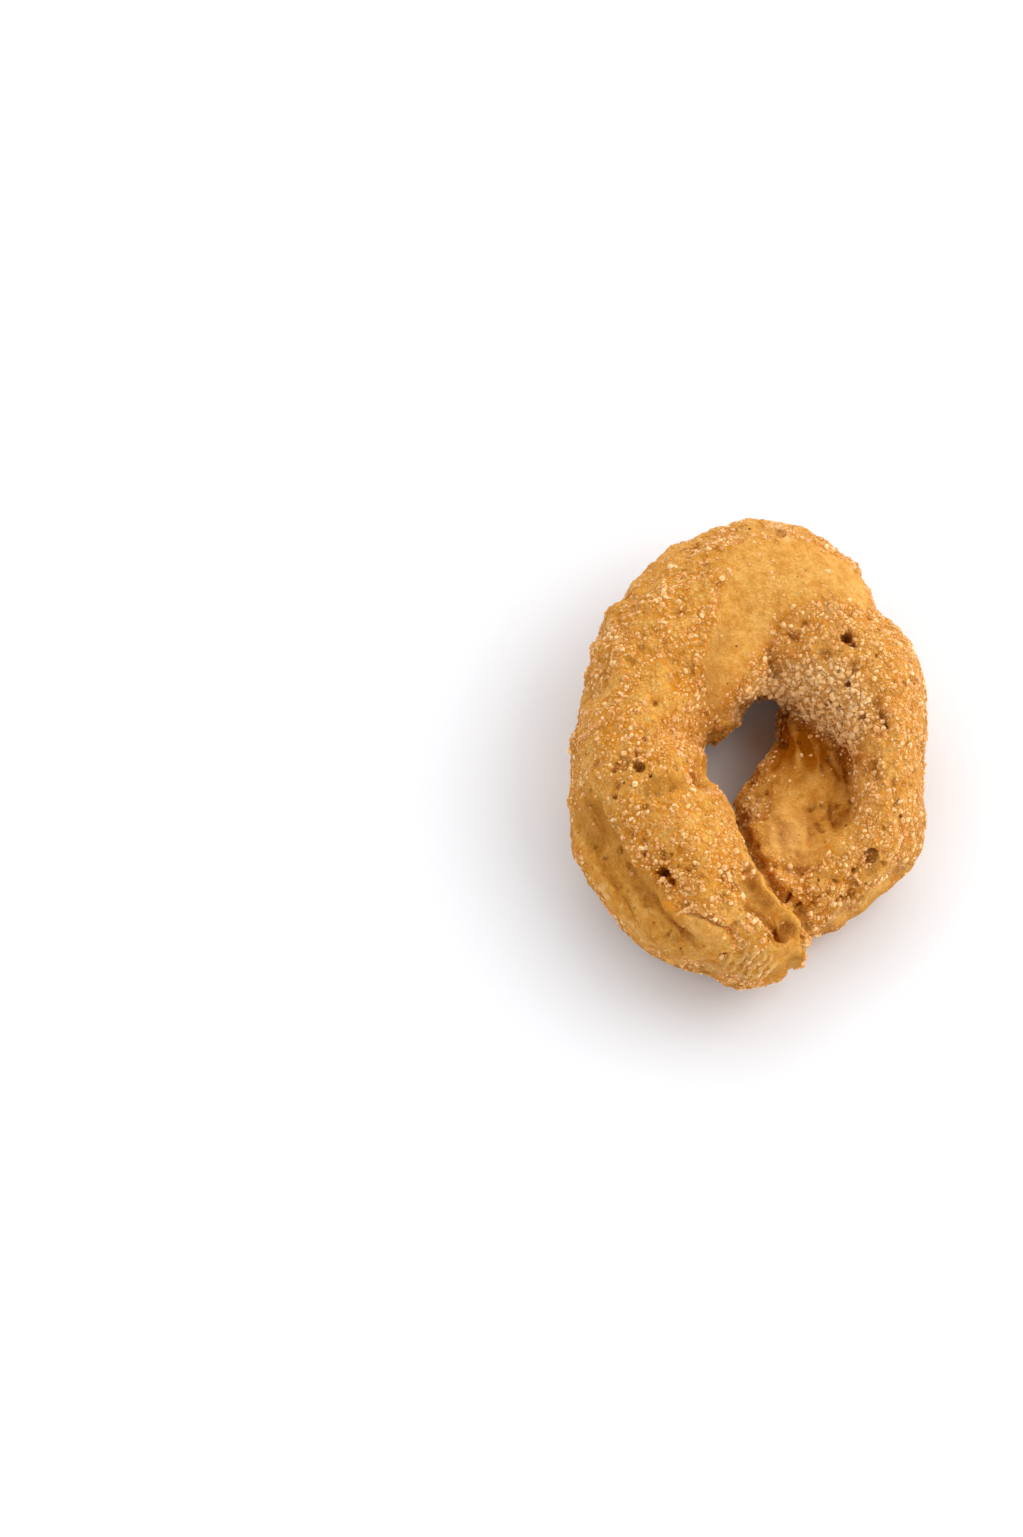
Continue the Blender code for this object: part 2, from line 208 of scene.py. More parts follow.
# %% Stations in mm: x, y, z of the middle, half width, half height
MAIN_STRAND = [
    (0.3, -28.9, 10.2, 5.9, 8.8),
    (-3.8, -26.5, 11.3, 7.7, 9.8),
    (-7.4, -21.3, 11.4, 8.7, 10.3),
    (-10.5, -15.3, 11.2, 9.5, 10.6),
    (-13.3, -8.6, 11.0, 10.1, 10.8),
    (-15.95, -2.5, 10.8, 9.05, 10.8),
    (-15.5, 3.2, 10.6, 9.3, 10.8),
    (-12.6, 10.7, 10.4, 11.3, 10.6),
    (-7.4, 17.0, 10.2, 13.2, 10.4),
    (-1.4, 21.1, 10.2, 13.6, 10.4),
    (4.0, 21.6, 10.2, 12.7, 10.4),
    (8.6, 19.0, 10.3, 11.3, 10.4),
    (12.2, 14.6, 10.5, 9.3, 10.4),
    (15.9, 10.0, 10.8, 9.0, 10.2),
    (18.3, 4.7, 11.0, 7.1, 9.8),
    (19.2, -1.0, 11.3, 5.4, 9.2),
    (19.1, -6.3, 11.4, 4.9, 9.0),
    (18.7, -11.2, 11.0, 4.9, 8.8),
    (16.8, -15.0, 10.2, 4.8, 8.4),
    (13.4, -17.8, 9.0, 4.8, 7.8),
    (9.6, -20.2, 8.0, 4.8, 7.4),
    (6.0, -22.4, 7.4, 4.6, 7.0),
]
LEDGE_STRAND = [
    (7.8, 10.5, 4.6, 3.8, 4.4),
    (9.6, 4.6, 5.0, 5.8, 5.0),
    (9.8, 0.0, 5.2, 8.0, 5.2),
    (8.9, -5.3, 5.6, 10.0, 5.6),
    (8.2, -9.5, 6.0, 10.6, 6.0),
    (7.0, -14.6, 6.6, 9.4, 6.6),
    (5.6, -19.6, 6.8, 7.0, 6.8),
]
RIM_STRAND = [
    (-4.2, 5.6, 8.4, 2.6, 4.4),
    (-1.6, 8.6, 8.8, 3.0, 4.8),
    (2.0, 11.2, 9.2, 3.4, 5.0),
    (6.0, 11.6, 9.6, 3.4, 4.8),
]
FOLD_STRAND = [
    (-22.8, -5.0, 9.4, 2.2, 3.0),
    (-22.2, -11.2, 8.8, 2.8, 3.4),
    (-19.8, -17.4, 8.0, 3.2, 3.6),
    (-15.8, -22.8, 7.4, 3.4, 3.8),
    (-10.7, -26.9, 7.0, 3.4, 3.8),
    (-6.0, -29.6, 6.8, 3.4, 4.0),
    (-1.9, -31.0, 7.0, 3.4, 4.2),
]
LAP_STRAND = [
    (-1.8, -20.0, 17.2, 1.2, 2.6),
    (0.4, -23.1, 16.4, 1.6, 3.0),
    (2.7, -25.9, 14.8, 1.8, 3.4),
    (5.1, -28.0, 12.4, 2.0, 4.0),
    (6.2, -29.3, 9.0, 2.4, 5.0),
]
STRANDS = (MAIN_STRAND, LEDGE_STRAND, RIM_STRAND, FOLD_STRAND, LAP_STRAND)
print("stations:", [len(strand) for strand in STRANDS])

# %% A smooth path through the stations
def smooth_path(stations, count):
    """Catmull-Rom curve: between two stations, a cubic whose slope at each is set by its neighbours."""
    rows = np.array(stations)
    ends = np.vstack([2 * rows[0] - rows[1], rows, 2 * rows[-1] - rows[-2]])
    lengths = np.linalg.norm(np.diff(rows[:, :3], axis=0), axis=1)
    knots = np.concatenate([[0.0], np.cumsum(lengths)])
    places = np.linspace(0.0, knots[-1], count)
    span = np.clip(np.searchsorted(knots, places, side="right") - 1, 0, len(rows) - 2)
    t = ((places - knots[span]) / lengths[span])[:, None]
    a, b, c, d = ends[span], ends[span + 1], ends[span + 2], ends[span + 3]
    return 0.5 * (2 * b + (c - a) * t + (2 * a - 5 * b + 4 * c - d) * t**2 + (3 * b - a - 3 * c + d) * t**3)


print("main strand:", len(smooth_path(MAIN_STRAND, 200)), "rings")

# %% The skin of one strand
RINGS = 200
SIDES = 56
CAP_RINGS = 8


def strand_surface(stations):
    """Point (i, j) = middle(i) + sideways(i) * width(i) * cos(turn j) + up * height(i) * sin(turn j).

    Past each end the middle runs on and the ellipse shrinks, by the sine and cosine of a quarter turn,
    so the strand ends in a round cap whose last ring is one point.
    """
    path = smooth_path(stations, RINGS)
    middle, width, height = path[:, :3], path[:, 3], path[:, 4]
    along = np.gradient(middle, axis=0) * (1.0, 1.0, 0.0)
    along /= np.linalg.norm(along, axis=1)[:, None]
    quarter = np.linspace(math.pi / 2, 0.0, CAP_RINGS, endpoint=False)
    reach = np.concatenate([-np.sin(quarter) * width[0], np.zeros(RINGS), np.sin(quarter[::-1]) * width[-1]])
    shrink = np.concatenate([np.cos(quarter), np.ones(RINGS), np.cos(quarter[::-1])])
    ring = np.concatenate([np.zeros(CAP_RINGS, int), np.arange(RINGS), np.full(CAP_RINGS, RINGS - 1)])
    middle = middle[ring] + along[ring] * reach[:, None]
    sideways = along[ring][:, [1, 0, 2]] * (1.0, -1.0, 0.0)
    turn = np.linspace(0.0, 2 * math.pi, SIDES, endpoint=False)
    flat = (width[ring] * shrink)[:, None, None] * np.cos(turn)[:, None] * sideways[:, None, :]
    upright = (height[ring] * shrink)[:, None, None] * np.sin(turn)[:, None] * (0.0, 0.0, 1.0)
    return middle[:, None, :] + flat + upright


def grid_faces(rings, sides, first):
    """Quads between neighbouring rings of a closed grid, as rows of four point numbers from first on."""
    i, j = np.meshgrid(np.arange(rings - 1), np.arange(sides), indexing="ij")
    k = (j + 1) % sides
    quads = np.stack([i * sides + j, (i + 1) * sides + j, (i + 1) * sides + k, i * sides + k], axis=-1)
    return quads.reshape(-1, 4) + first


print("one skin:", strand_surface(FOLD_STRAND).shape)

# %% [markdown]
# ## One body of dough
# In the oven the lapped strands swell into each other, and the joins round off. A voxel remesh
# does the same: it keeps whatever is inside any of the skins and draws one new skin round it.
# A few rounds of smoothing then soften the joins. The voxels are 0.29 mm, small enough for the
# sugary crumb. The underside needs no such detail, so it is thinned, and the whole stays under
# 200,000 triangles.

# %% Helpers to make an object and to read and write its points
def make_object(name, points, faces):
    """A mesh object from an array of points in mm, in the working frame, and an array of faces."""
    mesh = bpy.data.meshes.new(name)
    mesh.from_pydata((points * MM).tolist(), [], faces.tolist())
    mesh.update()
    thing = bpy.data.objects.new(name, mesh)
    bpy.context.scene.collection.objects.link(thing)
    return thing


def read_points(mesh, what="co"):
    """The mesh's points, or their normals, as rows of three."""
    values = np.empty(len(mesh.vertices) * 3, np.float32)
    mesh.vertices.foreach_get(what, values)
    return values.reshape(-1, 3).astype(float)


def write_points(mesh, points):
    """Moves the mesh's points to the given places in mm."""
    mesh.vertices.foreach_set("co", (points * MM).astype(np.float32).ravel())
    mesh.update()


print("helpers take mm and store metres: 1 mm is", MM)


# %% Fused strands
VOXEL = 0.29
SOFTENING = 9
KEPT_SHARE = 0.66
FACING_DOWN = -0.35

skins = [strand_surface(strand) for strand in STRANDS]
counts = [skin.shape[0] * SIDES for skin in skins]
starts = np.concatenate([[0], np.cumsum(counts)[:-1]])
faces = np.concatenate([grid_faces(skin.shape[0], SIDES, start) for skin, start in zip(skins, starts)])
dough = make_object("dough", np.concatenate([skin.reshape(-1, 3) for skin in skins]), faces)


def finished_mesh(thing):
    """The mesh with its modifiers worked in, put in place of the plain one."""
    mesh = bpy.data.meshes.new_from_object(thing.evaluated_get(bpy.context.evaluated_depsgraph_get()))
    thing.modifiers.clear()
    thing.data = mesh
    mesh.name = thing.name
    return mesh


remesh = dough.modifiers.new("fuse", "REMESH")
remesh.mode = "VOXEL"
remesh.voxel_size = VOXEL * MM
soften = dough.modifiers.new("soften", "SMOOTH")
soften.factor = 0.5
soften.iterations = SOFTENING
fused = finished_mesh(dough)

low_down = np.flatnonzero(read_points(fused, "normal")[:, 2] < FACING_DOWN)
underside = dough.vertex_groups.new(name="underside")
underside.add(low_down.tolist(), 1.0, "REPLACE")
thin_below = dough.modifiers.new("thin below", "DECIMATE")
thin_below.vertex_group = "underside"
thin_below.ratio = KEPT_SHARE
fused = finished_mesh(dough)
dough.vertex_groups.clear()
fused.calc_loop_triangles()
print("fused dough:", len(fused.vertices), "points,", len(fused.loop_triangles), "triangles")

# %% [markdown]
# ## Drawing on the crust
# Folds, bare patches and burst bubbles have places that no formula gives, so we draw them as a
# few short lines on the leaning plane, and carry them from the eye onto the dough. Each drawn
# point is (u, v) in mm: u to the right and v up the plane. The lines are chosen with only the
# points that their bends need.

# %% The bare band over the top lobe, and the sugared lips on both sides of it
BAND_VALLEY = [(-4.6, 8.8), (-5.3, 13.3), (-5.0, 17.2), (-3.5, 21.4), (-1.3, 25.3), (1.8, 28.7)]
LEFT_LIP = [(-4.1, 7.7), (-6.2, 13.0), (-7.0, 16.5), (-5.6, 19.5), (-5.7, 22.5), (-4.9, 25.1), (-3.5, 27.6)]
LOBE_LIP = [
    (-2.7, 11.9), (-0.4, 14.7), (1.6, 17.5), (3.8, 19.4), (4.2, 21.8), (6.2, 24.0), (8.8, 25.5),
    (11.9, 26.0), (14.7, 24.9), (18.3, 24.2),
]
BAND_FAR_EDGE = [
    (17.5, 27.6), (14.7, 31.1), (11.3, 33.0), (7.4, 34.6), (3.7, 33.8), (0.8, 34.3), (-3.0, 32.8),
    (-3.2, 29.4), (-4.6, 25.9), (-5.7, 21.7), (-6.4, 17.5), (-6.0, 13.3), (-4.8, 8.8),
]
PALE_LIP = [(3.4, 36.0), (4.6, 35.8), (5.5, 34.9), (5.9, 33.9)]
print("the bare band ends", BAND_FAR_EDGE[3][1], "mm up the plane")

# %% The left side: the waist's creases, and the bare twist below it
WAIST_CREASE = [(-25.3, 0.4), (-20.6, -0.1), (-15.0, -0.7), (-9.4, 0.4), (-5.5, 2.7)]
WAIST_SLITS = [[(-16.0, 3.2), (-14.8, 2.1)], [(-11.0, -0.8), (-9.9, 0.2)], [(-19.2, 1.9), (-18.6, 2.7)]]
WAIST_PATCH = [(-14.6, 0.8), (-12.6, 1.6), (-9.0, 1.4), (-8.4, -0.2), (-11.4, -1.2), (-14.0, -0.9)]
FOLD_VALLEY = [
    (-22.5, -1.5), (-21.0, -5.7), (-18.3, -10.3), (-15.4, -14.6), (-12.4, -17.9), (-9.6, -20.9),
    (-7.2, -22.8),
]
FOLD_RIDGE = [(-21.8, -8.0), (-20.2, -12.2), (-17.8, -15.8), (-14.4, -19.4), (-10.8, -22.6), (-7.5, -24.4)]
UPPER_RIDGE = [(-11.8, -15.6), (-9.4, -18.0), (-6.6, -20.2), (-3.6, -21.6)]
SOFT_LIP = [(-20.6, -3.2), (-17.6, -8.4), (-14.6, -12.8), (-11.4, -15.6)]
CRISP_LIP = [(-8.7, -17.6), (-7.2, -18.1), (-5.3, -19.0), (-3.6, -19.7), (-1.7, -19.7)]
FOLD_EDGE = [
    (-23.7, -1.0), (-21.4, -3.8), (-18.9, -7.1), (-16.1, -11.0), (-13.3, -13.9), (-9.9, -16.8),
    (-6.4, -18.8), (-2.8, -19.9), (-1.7, -22.5), (-4.9, -25.3), (-10.5, -24.4), (-15.8, -21.8),
    (-19.9, -17.0), (-22.6, -12.2), (-24.6, -7.1),
]
PLEAT = [(-19.6, -9.4), (-17.4, -13.2), (-14.6, -16.8), (-11.6, -19.6), (-8.8, -21.8)]
LOWER_PLEAT = [(-17.6, -18.6), (-14.2, -21.4), (-10.6, -23.6), (-6.4, -25.2)]
HEM = [(-14.0, -23.0), (-10.4, -24.9), (-7.8, -26.3), (-5.0, -27.2), (-2.0, -28.2)]
print("the bare twist is drawn with", len(FOLD_EDGE), "corners")

# %% The lap: a hollow, the tongue beside it, the crevice and the smooth nose
HOLLOW = [
    (-1.3, -13.1), (-0.3, -15.2), (0.4, -16.7), (1.3, -17.6), (2.3, -18.5), (2.9, -19.6), (3.6, -20.7),
    (4.0, -22.2), (5.2, -22.5), (6.4, -21.7), (6.7, -20.6), (6.0, -19.3), (4.6, -17.8), (2.9, -15.9),
    (1.3, -14.2), (0.0, -12.9),
]
HOLLOW_FLOOR = [(0.5, -16.2), (2.6, -18.2), (4.2, -19.9), (5.2, -21.3)]
TONGUE = [(-0.7, -9.4), (0.6, -12.0), (2.1, -14.0), (3.9, -16.2), (5.6, -18.1), (7.0, -19.8), (7.2, -21.8)]
TONGUE_EDGE = [
    (2.2, -12.6), (3.0, -13.8), (3.9, -15.1), (4.9, -16.2), (6.5, -17.4), (7.4, -18.9), (7.7, -20.5),
    (7.6, -22.4), (6.3, -23.6), (4.2, -22.6), (2.4, -19.0), (0.4, -13.6),
]
CREVICE = [
    (-1.4, -3.8), (-0.8, -6.3), (0.3, -8.8), (1.4, -10.6), (2.4, -12.0), (3.4, -13.5), (4.2, -15.1),
    (5.2, -16.2), (6.9, -17.3), (7.7, -18.8), (8.0, -20.5), (8.2, -22.6),
]
CREVICE_SHORE = [(0.4, -4.8), (1.2, -7.4), (2.4, -9.8), (3.4, -11.6), (4.8, -13.6), (6.0, -15.0)]
NOSE_CREASES = [
    [(8.8, -22.4), (6.7, -23.4), (4.3, -24.6), (3.2, -25.9)],
    [(8.9, -22.8), (7.8, -23.9), (5.7, -25.3), (3.8, -27.1)],
    [(1.6, -28.4), (4.4, -27.0), (8.0, -24.8)],
]
SKIRT_CREASE = [
    (9.1, -22.7), (9.7, -21.7), (11.1, -20.6), (12.7, -18.6), (15.0, -17.4), (17.4, -15.6),
    (19.0, -14.2), (20.9, -12.5), (21.8, -11.2),
]
print("the crevice runs down to", CREVICE[-1])

# %% The ledge, the hole's edge, and the burst bubbles as u, v, radius and depth
LEDGE_EDGE = [
    (4.3, 11.1), (7.4, 9.7), (10.2, 7.7), (12.5, 5.6), (14.6, 3.2), (15.4, -0.1), (15.4, -3.8),
    (14.4, -7.4), (12.5, -9.9), (8.0, -11.3), (3.8, -10.8), (1.4, -9.0), (-0.1, -5.7), (-0.4, -2.1),
    (2.1, 2.4), (4.3, 6.6),
]
LEDGE_PATCH = [(-0.6, -1.4), (1.6, -1.4), (3.0, -2.4), (3.0, -4.4), (2.0, -5.6), (-0.1, -5.4)]
LEDGE_CREASES = [
    [(4.2, 6.6), (3.8, 4.8), (3.4, 2.9)], [(1.2, -10.1), (3.8, -11.4), (7.4, -11.7), (10.5, -11.3)],
    [(11.9, -5.3), (13.4, -5.7)], [(8.2, -5.0), (9.4, -6.0), (10.6, -6.4)],
]
LOBE_CREASES = [
    [(14.1, -13.0), (15.1, -14.2), (15.1, -15.8)], [(13.4, 21.6), (14.5, 20.6), (14.9, 18.8)],
    [(18.8, 12.2), (18.2, 9.4)], [(15.0, 16.8), (13.6, 13.4)], [(20.2, 1.6), (20.6, -2.0)],
    [(17.2, 3.6), (17.9, 0.8)], [(17.4, -9.4), (18.0, -11.2), (17.0, -12.4)],
]
DARK_STREAKS = [
    [(5.1, 10.1), (4.3, 8.1), (4.9, 5.5), (4.3, 3.4), (3.8, 2.0)], [(7.2, 9.6), (8.6, 6.7), (9.0, 4.2)],
    [(9.8, 7.3), (11.1, 4.8), (11.5, 2.8), (13.0, 1.0)], [(12.6, 5.6), (13.8, 3.2), (14.0, 0.4)],
]
GOLDEN_STREAKS = [
    [(6.2, 8.6), (7.0, 6.4), (7.5, 3.8), (7.0, 1.4)], [(10.0, 5.2), (10.2, 2.6), (9.8, 0.6)],
    [(12.2, 4.0), (12.8, 2.2)],
]
LEDGE_BULGE = [(3.4, -6.6), (6.4, -5.4), (9.4, -6.6)]
LEDGE_DIP = [(3.2, 0.2), (7.0, -0.8), (11.0, -1.4)]
PITS = [
    (-12.3, -12.5, 0.85, 1.7), (-11.0, -13.7, 0.55, 0.9), (13.9, 20.8, 0.6, 1.1),
    (14.6, 19.8, 0.45, 0.8), (-15.8, 4.7, 0.5, 0.8), (-15.4, 2.5, 0.4, 0.8), (-12.6, 11.2, 0.4, 0.6),
    (9.0, -3.0, 0.50, 0.8), (8.4, -3.2, 0.4, 0.6), (10.5, -3.0, 0.35, 0.6), (-1.3, -13.2, 0.4, 1.0),
    (0.6, -17.1, 0.4, 1.0), (5.2, -21.2, 0.9, 1.0), (17.7, -9.6, 0.6, 1.2), (17.5, -10.8, 0.4, 0.7),
    (13.9, -13.2, 0.45, 1.0), (15.0, -11.9, 0.45, 0.9), (5.4, -15.9, 0.45, 0.9), (7.3, -17.3, 0.4, 0.9),
    (17.6, 24.2, 0.6, 0.9), (5.0, 10.1, 0.6, 1.2), (4.8, 5.8, 0.45, 0.8), (-19.2, 2.0, 0.35, 0.7),
    (-18.6, 2.7, 0.35, 0.7), (-13.3, 1.3, 0.35, 0.6), (-14.4, 6.6, 0.35, 0.7), (-13.0, 7.4, 0.3, 0.5),
    (-19.3, -1.4, 0.4, 0.6), (-18.8, -0.1, 0.35, 0.6), (-14.7, -9.5, 0.3, 0.6),
    (-10.9, -9.5, 0.35, 0.6), (-12.3, -9.0, 0.35, 0.4), (-7.7, -11.1, 0.3, 0.6),
    (-8.8, -11.9, 0.35, 0.6), (18.9, -10.9, 0.4, 0.8), (17.1, -13.6, 0.35, 0.7),
    (15.5, -14.1, 0.3, 0.6), (13.9, -16.0, 0.4, 0.8), (11.6, -15.3, 0.35, 0.6),
    (12.6, -13.6, 0.35, 0.7), (9.2, -16.7, 0.35, 0.7), (8.3, -21.6, 0.35, 0.5), (3.8, -11.4, 0.35, 0.6),
    (1.6, -8.8, 0.45, 0.6), (5.2, 5.5, 0.4, 0.7), (19.4, 8.2, 0.4, 0.8), (16.2, 9.6, 0.45, 0.8),
    (20.6, 14.4, 0.35, 0.6), (14.0, 14.0, 0.45, 0.8), (9.4, 13.0, 0.4, 0.8), (5.8, 14.0, 0.4, 0.7),
    (11.6, 11.2, 0.4, 0.8), (22.6, 6.0, 0.35, 0.6), (18.4, 18.0, 0.4, 0.7), (21.6, -4.4, 0.4, 0.7),
    (19.0, -6.0, 0.4, 0.7), (24.0, 2.2, 0.35, 0.5), (-17.7, -14.0, 0.2, 0.4), (-16.9, -14.9, 0.2, 0.4),
    (-15.6, -15.9, 0.2, 0.4), (-14.4, -17.1, 0.25, 0.5), (-13.3, -19.2, 0.22, 0.4),
    (-11.3, -20.4, 0.2, 0.4), (-8.7, -21.4, 0.22, 0.4), (-21.2, -8.6, 0.25, 0.4),
]
print(len(PITS), "burst bubbles")

# %% [markdown]
# ## Tools for drawn lines
# A mark needs to know, for every point of the skin at once, how far it is from a line, which
# side of it it is on, how far along the line it lies, and whether it is inside an outline.

# %% Where points fall on the leaning plane
def as_seen(points):
    """Perspective from the eye: the offsets across and up, divided by the depth, times the distance."""
    ray = points - EYE
    depth = -(ray @ TOWARDS_EYE)
    start = EYE - TOWARDS_EYE * EYE_DISTANCE
    u = (ray @ ACROSS) / depth * EYE_DISTANCE + start @ ACROSS
    v = (ray @ UPWARDS) / depth * EYE_DISTANCE + start @ UPWARDS
    return np.stack([u, v], axis=1)


print("1 mm higher is seen", as_seen(np.array([[0.0, 0.0, 1.0]])).round(2)[0, 1], "mm further up the plane")

# %% Ramps, ridges and distances
def ramp(values, low, high):
    """0 at low, 1 at high and an S curve between, 3t^2 - 2t^3."""
    t = np.clip((values - low) / (high - low), 0.0, 1.0)
    return t * t * (3.0 - 2.0 * t)


def ridge(distance, width):
    """A bell curve: 1 on the line, and e to the minus square of distance over width away from it."""
    return np.exp(-((distance / width) ** 2))


def line_distance(places, line):
    """Distance to a line's nearest point, the side (1 on its left), and the share of its length there."""
    line = np.array(line)
    lengths = np.linalg.norm(np.diff(line, axis=0), axis=1)
    share_at = np.concatenate([[0.0], np.cumsum(lengths)]) / lengths.sum()
    best = np.full(len(places), np.inf)
    side, share = np.zeros(len(places)), np.zeros(len(places))
    for k, (start, end) in enumerate(zip(line[:-1], line[1:])):
        run = end - start
        t = np.clip(((places - start) @ run) / (run @ run), 0.0, 1.0)
        gap = np.linalg.norm(places - start - t[:, None] * run, axis=1)
        turn = run[0] * (places[:, 1] - start[1]) - run[1] * (places[:, 0] - start[0])
        near = gap < best
        side = np.where(near, np.sign(turn), side)
        share = np.where(near, share_at[k] + t * (share_at[k + 1] - share_at[k]), share)
        best = np.minimum(best, gap)
    return best, side, share


def depth_inside(places, outline):
    """Distance to a closed outline, above zero inside and below zero outside."""
    corners = np.array(outline)
    odd = np.zeros(len(places), bool)
    for start, end in zip(corners, np.roll(corners, -1, axis=0)):
        crosses = (start[1] > places[:, 1]) != (end[1] > places[:, 1])
        rise = end[1] - start[1] if end[1] != start[1] else 1.0
        odd ^= crosses & (places[:, 0] < start[0] + (end[0] - start[0]) * (places[:, 1] - start[1]) / rise)
    gap, _, _ = line_distance(places, list(outline) + [outline[0]])
    return np.where(odd, gap, -gap)


def fade_ends(share, part):
    """0 at both ends of a line, rising to 1 over the given part of its length."""
    return ramp(share, -0.001, part) * ramp(1.0 - share, -0.001, part)


print("from (-3, -12) to the crevice:", line_distance(np.array([[-3.0, -12.0]]), CREVICE)[0].round(2), "mm")

# %% [markdown]
# ## Two kinds of unevenness
# Baked dough is lumpy in smooth waves, which value noise gives: random heights at the corners of
# a grid, blended in between. Sugared crumb is made of rounded grains with sharp gaps, and the
# distance to the nearest of many scattered points gives that.

# %% Waves and grains
TABLE = 32


def waves(points, size, seed):
    """Value noise from -1 to 1, with one random height at each corner of cubes of the given size."""
    table = np.random.default_rng(seed).uniform(-1.0, 1.0, (TABLE, TABLE, TABLE))
    cell = points / size + 100.0
    corner = np.floor(cell).astype(int)
    part = cell - corner
    part = part**3 * (part * (part * 6.0 - 15.0) + 10.0)
    total = np.zeros(len(points))
    for step in np.ndindex(2, 2, 2):
        weight = np.prod(np.where(step, part, 1.0 - part), axis=1)
        i, j, k = ((corner + step) % TABLE).T
        total += weight * table[i, j, k]
    return total


def grain_distance(points, size, seed):
    """Distance, in cells, to the nearest of points scattered one to a cube of the given size."""
    scatter = np.random.default_rng(seed).uniform(0.0, 1.0, (TABLE, TABLE, TABLE, 3))
    cell = points / size + 100.0
    corner = np.floor(cell).astype(int)
    best = np.full(len(points), np.inf)
    for step in np.ndindex(3, 3, 3):
        other = corner + step - 1
        i, j, k = (other % TABLE).T
        best = np.minimum(best, ((cell - other - scatter[i, j, k]) ** 2).sum(axis=1))
    return np.sqrt(best)


print("waves at three points:", waves(np.eye(3) * 5.0, 3.0, 1).round(2))

# %% [markdown]
# ## Along and around the strand
# Rolling and stretching leave fine streaks that run lengthwise. To draw them we need, for each
# point, how far along the main strand it lies and where round it. On the ledge the streaks
# spread like a fan from under the overhang, so there we take polar places instead.

# %% Lengthwise places
STRAND_RADIUS = 9.0
FAN_MIDDLE = (5.0, 12.5)
FAN_WIDTH = 7.0
FAN_HEIGHT = 50.0


def strand_places(points):
    """Length along the main strand to the nearest ring, and the place round it as a point on a circle."""
    middle = smooth_path(MAIN_STRAND, RINGS)[:, :3]
    squares = (middle**2).sum(axis=1) - 2.0 * points @ middle.T
    nearest = squares.argmin(axis=1)
    steps = np.linalg.norm(np.diff(middle, axis=0), axis=1)
    along = np.concatenate([[0.0], np.cumsum(steps)])[nearest]
    heading = np.gradient(middle, axis=0)[nearest]
    heading /= np.linalg.norm(heading, axis=1)[:, None]
    away = points - middle[nearest]
    along = along + (away * heading).sum(axis=1)
    turn = np.arctan2(away[:, 2], away[:, 0] * heading[:, 1] - away[:, 1] * heading[:, 0])
    return np.stack([along, STRAND_RADIUS * np.cos(turn), STRAND_RADIUS * np.sin(turn)], axis=1)


def fan_places(seen):
    """The ledge was pulled out like a fan: distance from its middle, and the angle there times a width."""
    u, v = (seen - FAN_MIDDLE).T
    return np.stack([np.hypot(u, v), FAN_WIDTH * np.arctan2(u, -v), np.full(len(u), FAN_HEIGHT)], axis=1)


def streaks(places, length, width, seed):
    """Waves stretched along the first of the three places, from -1 to 1."""
    return waves(places / (length, width, width), 1.0, seed)


first_station = np.array([MAIN_STRAND[0][:3]])
print("length along the strand at its start:", strand_places(first_station)[0, 0].round(2), "mm")


# %% [markdown]
# ## Where the crust is bare, and where it is thick with sugar
# Sugar stuck where the strand was wet. The band over the top, the twist low on the left, the lap
# and the ledge stretched while baking and stayed bare. The right lobe took the thickest coat.
# These shares, from 0 to 1 at each point, steer the relief, the colours and the grains.

# %% Shares of the crust
# size of the waves and reach of the shift in mm, and their seeds for u and v
WOBBLE = ((2.6, 0.45, 71, 72), (1.0, 0.18, 73, 74))


def wobbly_view(points):
    """The drawn plane with each point shifted a little by waves, so that drawn edges are uneven."""
    seen = as_seen(points)
    for size, reach, seed_u, seed_v in WOBBLE:
        seen = seen + reach * np.stack([waves(points, size, seed_u), waves(points, size, seed_v)], axis=1)
    return seen


def crust_shares(points, normals):
    """Each drawn area's share: it faces the eye, and its edge fades between the two depths given."""
    seen = wobbly_view(points)
    facing = normals @ TOWARDS_EYE
    front = ramp(facing, -0.05, 0.3)
    shares = {"seen": seen, "front": front, "near": ramp(facing, -0.75, -0.3)}
    shares["band"] = front * ramp(depth_inside(seen, LOBE_LIP + BAND_FAR_EDGE), -0.5, 0.9)
    shares["fold"] = front * ramp(depth_inside(seen, FOLD_EDGE), -0.3, 0.6)
    patch = ramp(depth_inside(seen, LEDGE_PATCH), -0.4, 0.4)
    shares["ledge"] = front * ramp(depth_inside(seen, LEDGE_EDGE), -1.0, 1.8) * (1.0 - patch)
    lap = np.maximum(depth_inside(seen, TONGUE_EDGE), depth_inside(seen, HOLLOW))
    shares["lap"] = front * ramp(lap, -0.25, 0.25)
    shares["waist"] = front * 0.8 * ramp(depth_inside(seen, WAIST_PATCH), -0.3, 0.5)
    nose = ramp(seen[:, 0], 2.2, 4.0) * ramp(8.6 - seen[:, 0], 0.0, 1.0) * ramp(-seen[:, 1], 21.5, 23.0)
    shares["nose"] = front * nose
    skirt = line_distance(seen, SKIRT_CREASE)
    low = np.where(skirt[1] < 0, ramp(skirt[0], -0.1, 0.4), 0.0) * (seen[:, 0] > 9.0) * (seen[:, 1] < -11.0)
    shares["skirt"] = 0.85 * shares["near"] * low
    names = ("band", "fold", "ledge", "lap", "waist", "nose", "skirt")
    shares["bare"] = np.clip(np.maximum.reduce([shares[name] for name in names]), 0.0, 1.0)
    right = ramp(seen[:, 0], 0.0, 6.0) * ramp(seen[:, 1], -16.0, -8.0)
    shares["lobe"] = right * (1.0 - shares["bare"])
    crumbly = ramp(seen[:, 0], 6.0, 8.0) * ramp(-seen[:, 1], 9.0, 11.0)
    shares["crumb"] = front * crumbly * (1.0 - shares["bare"])
    return shares


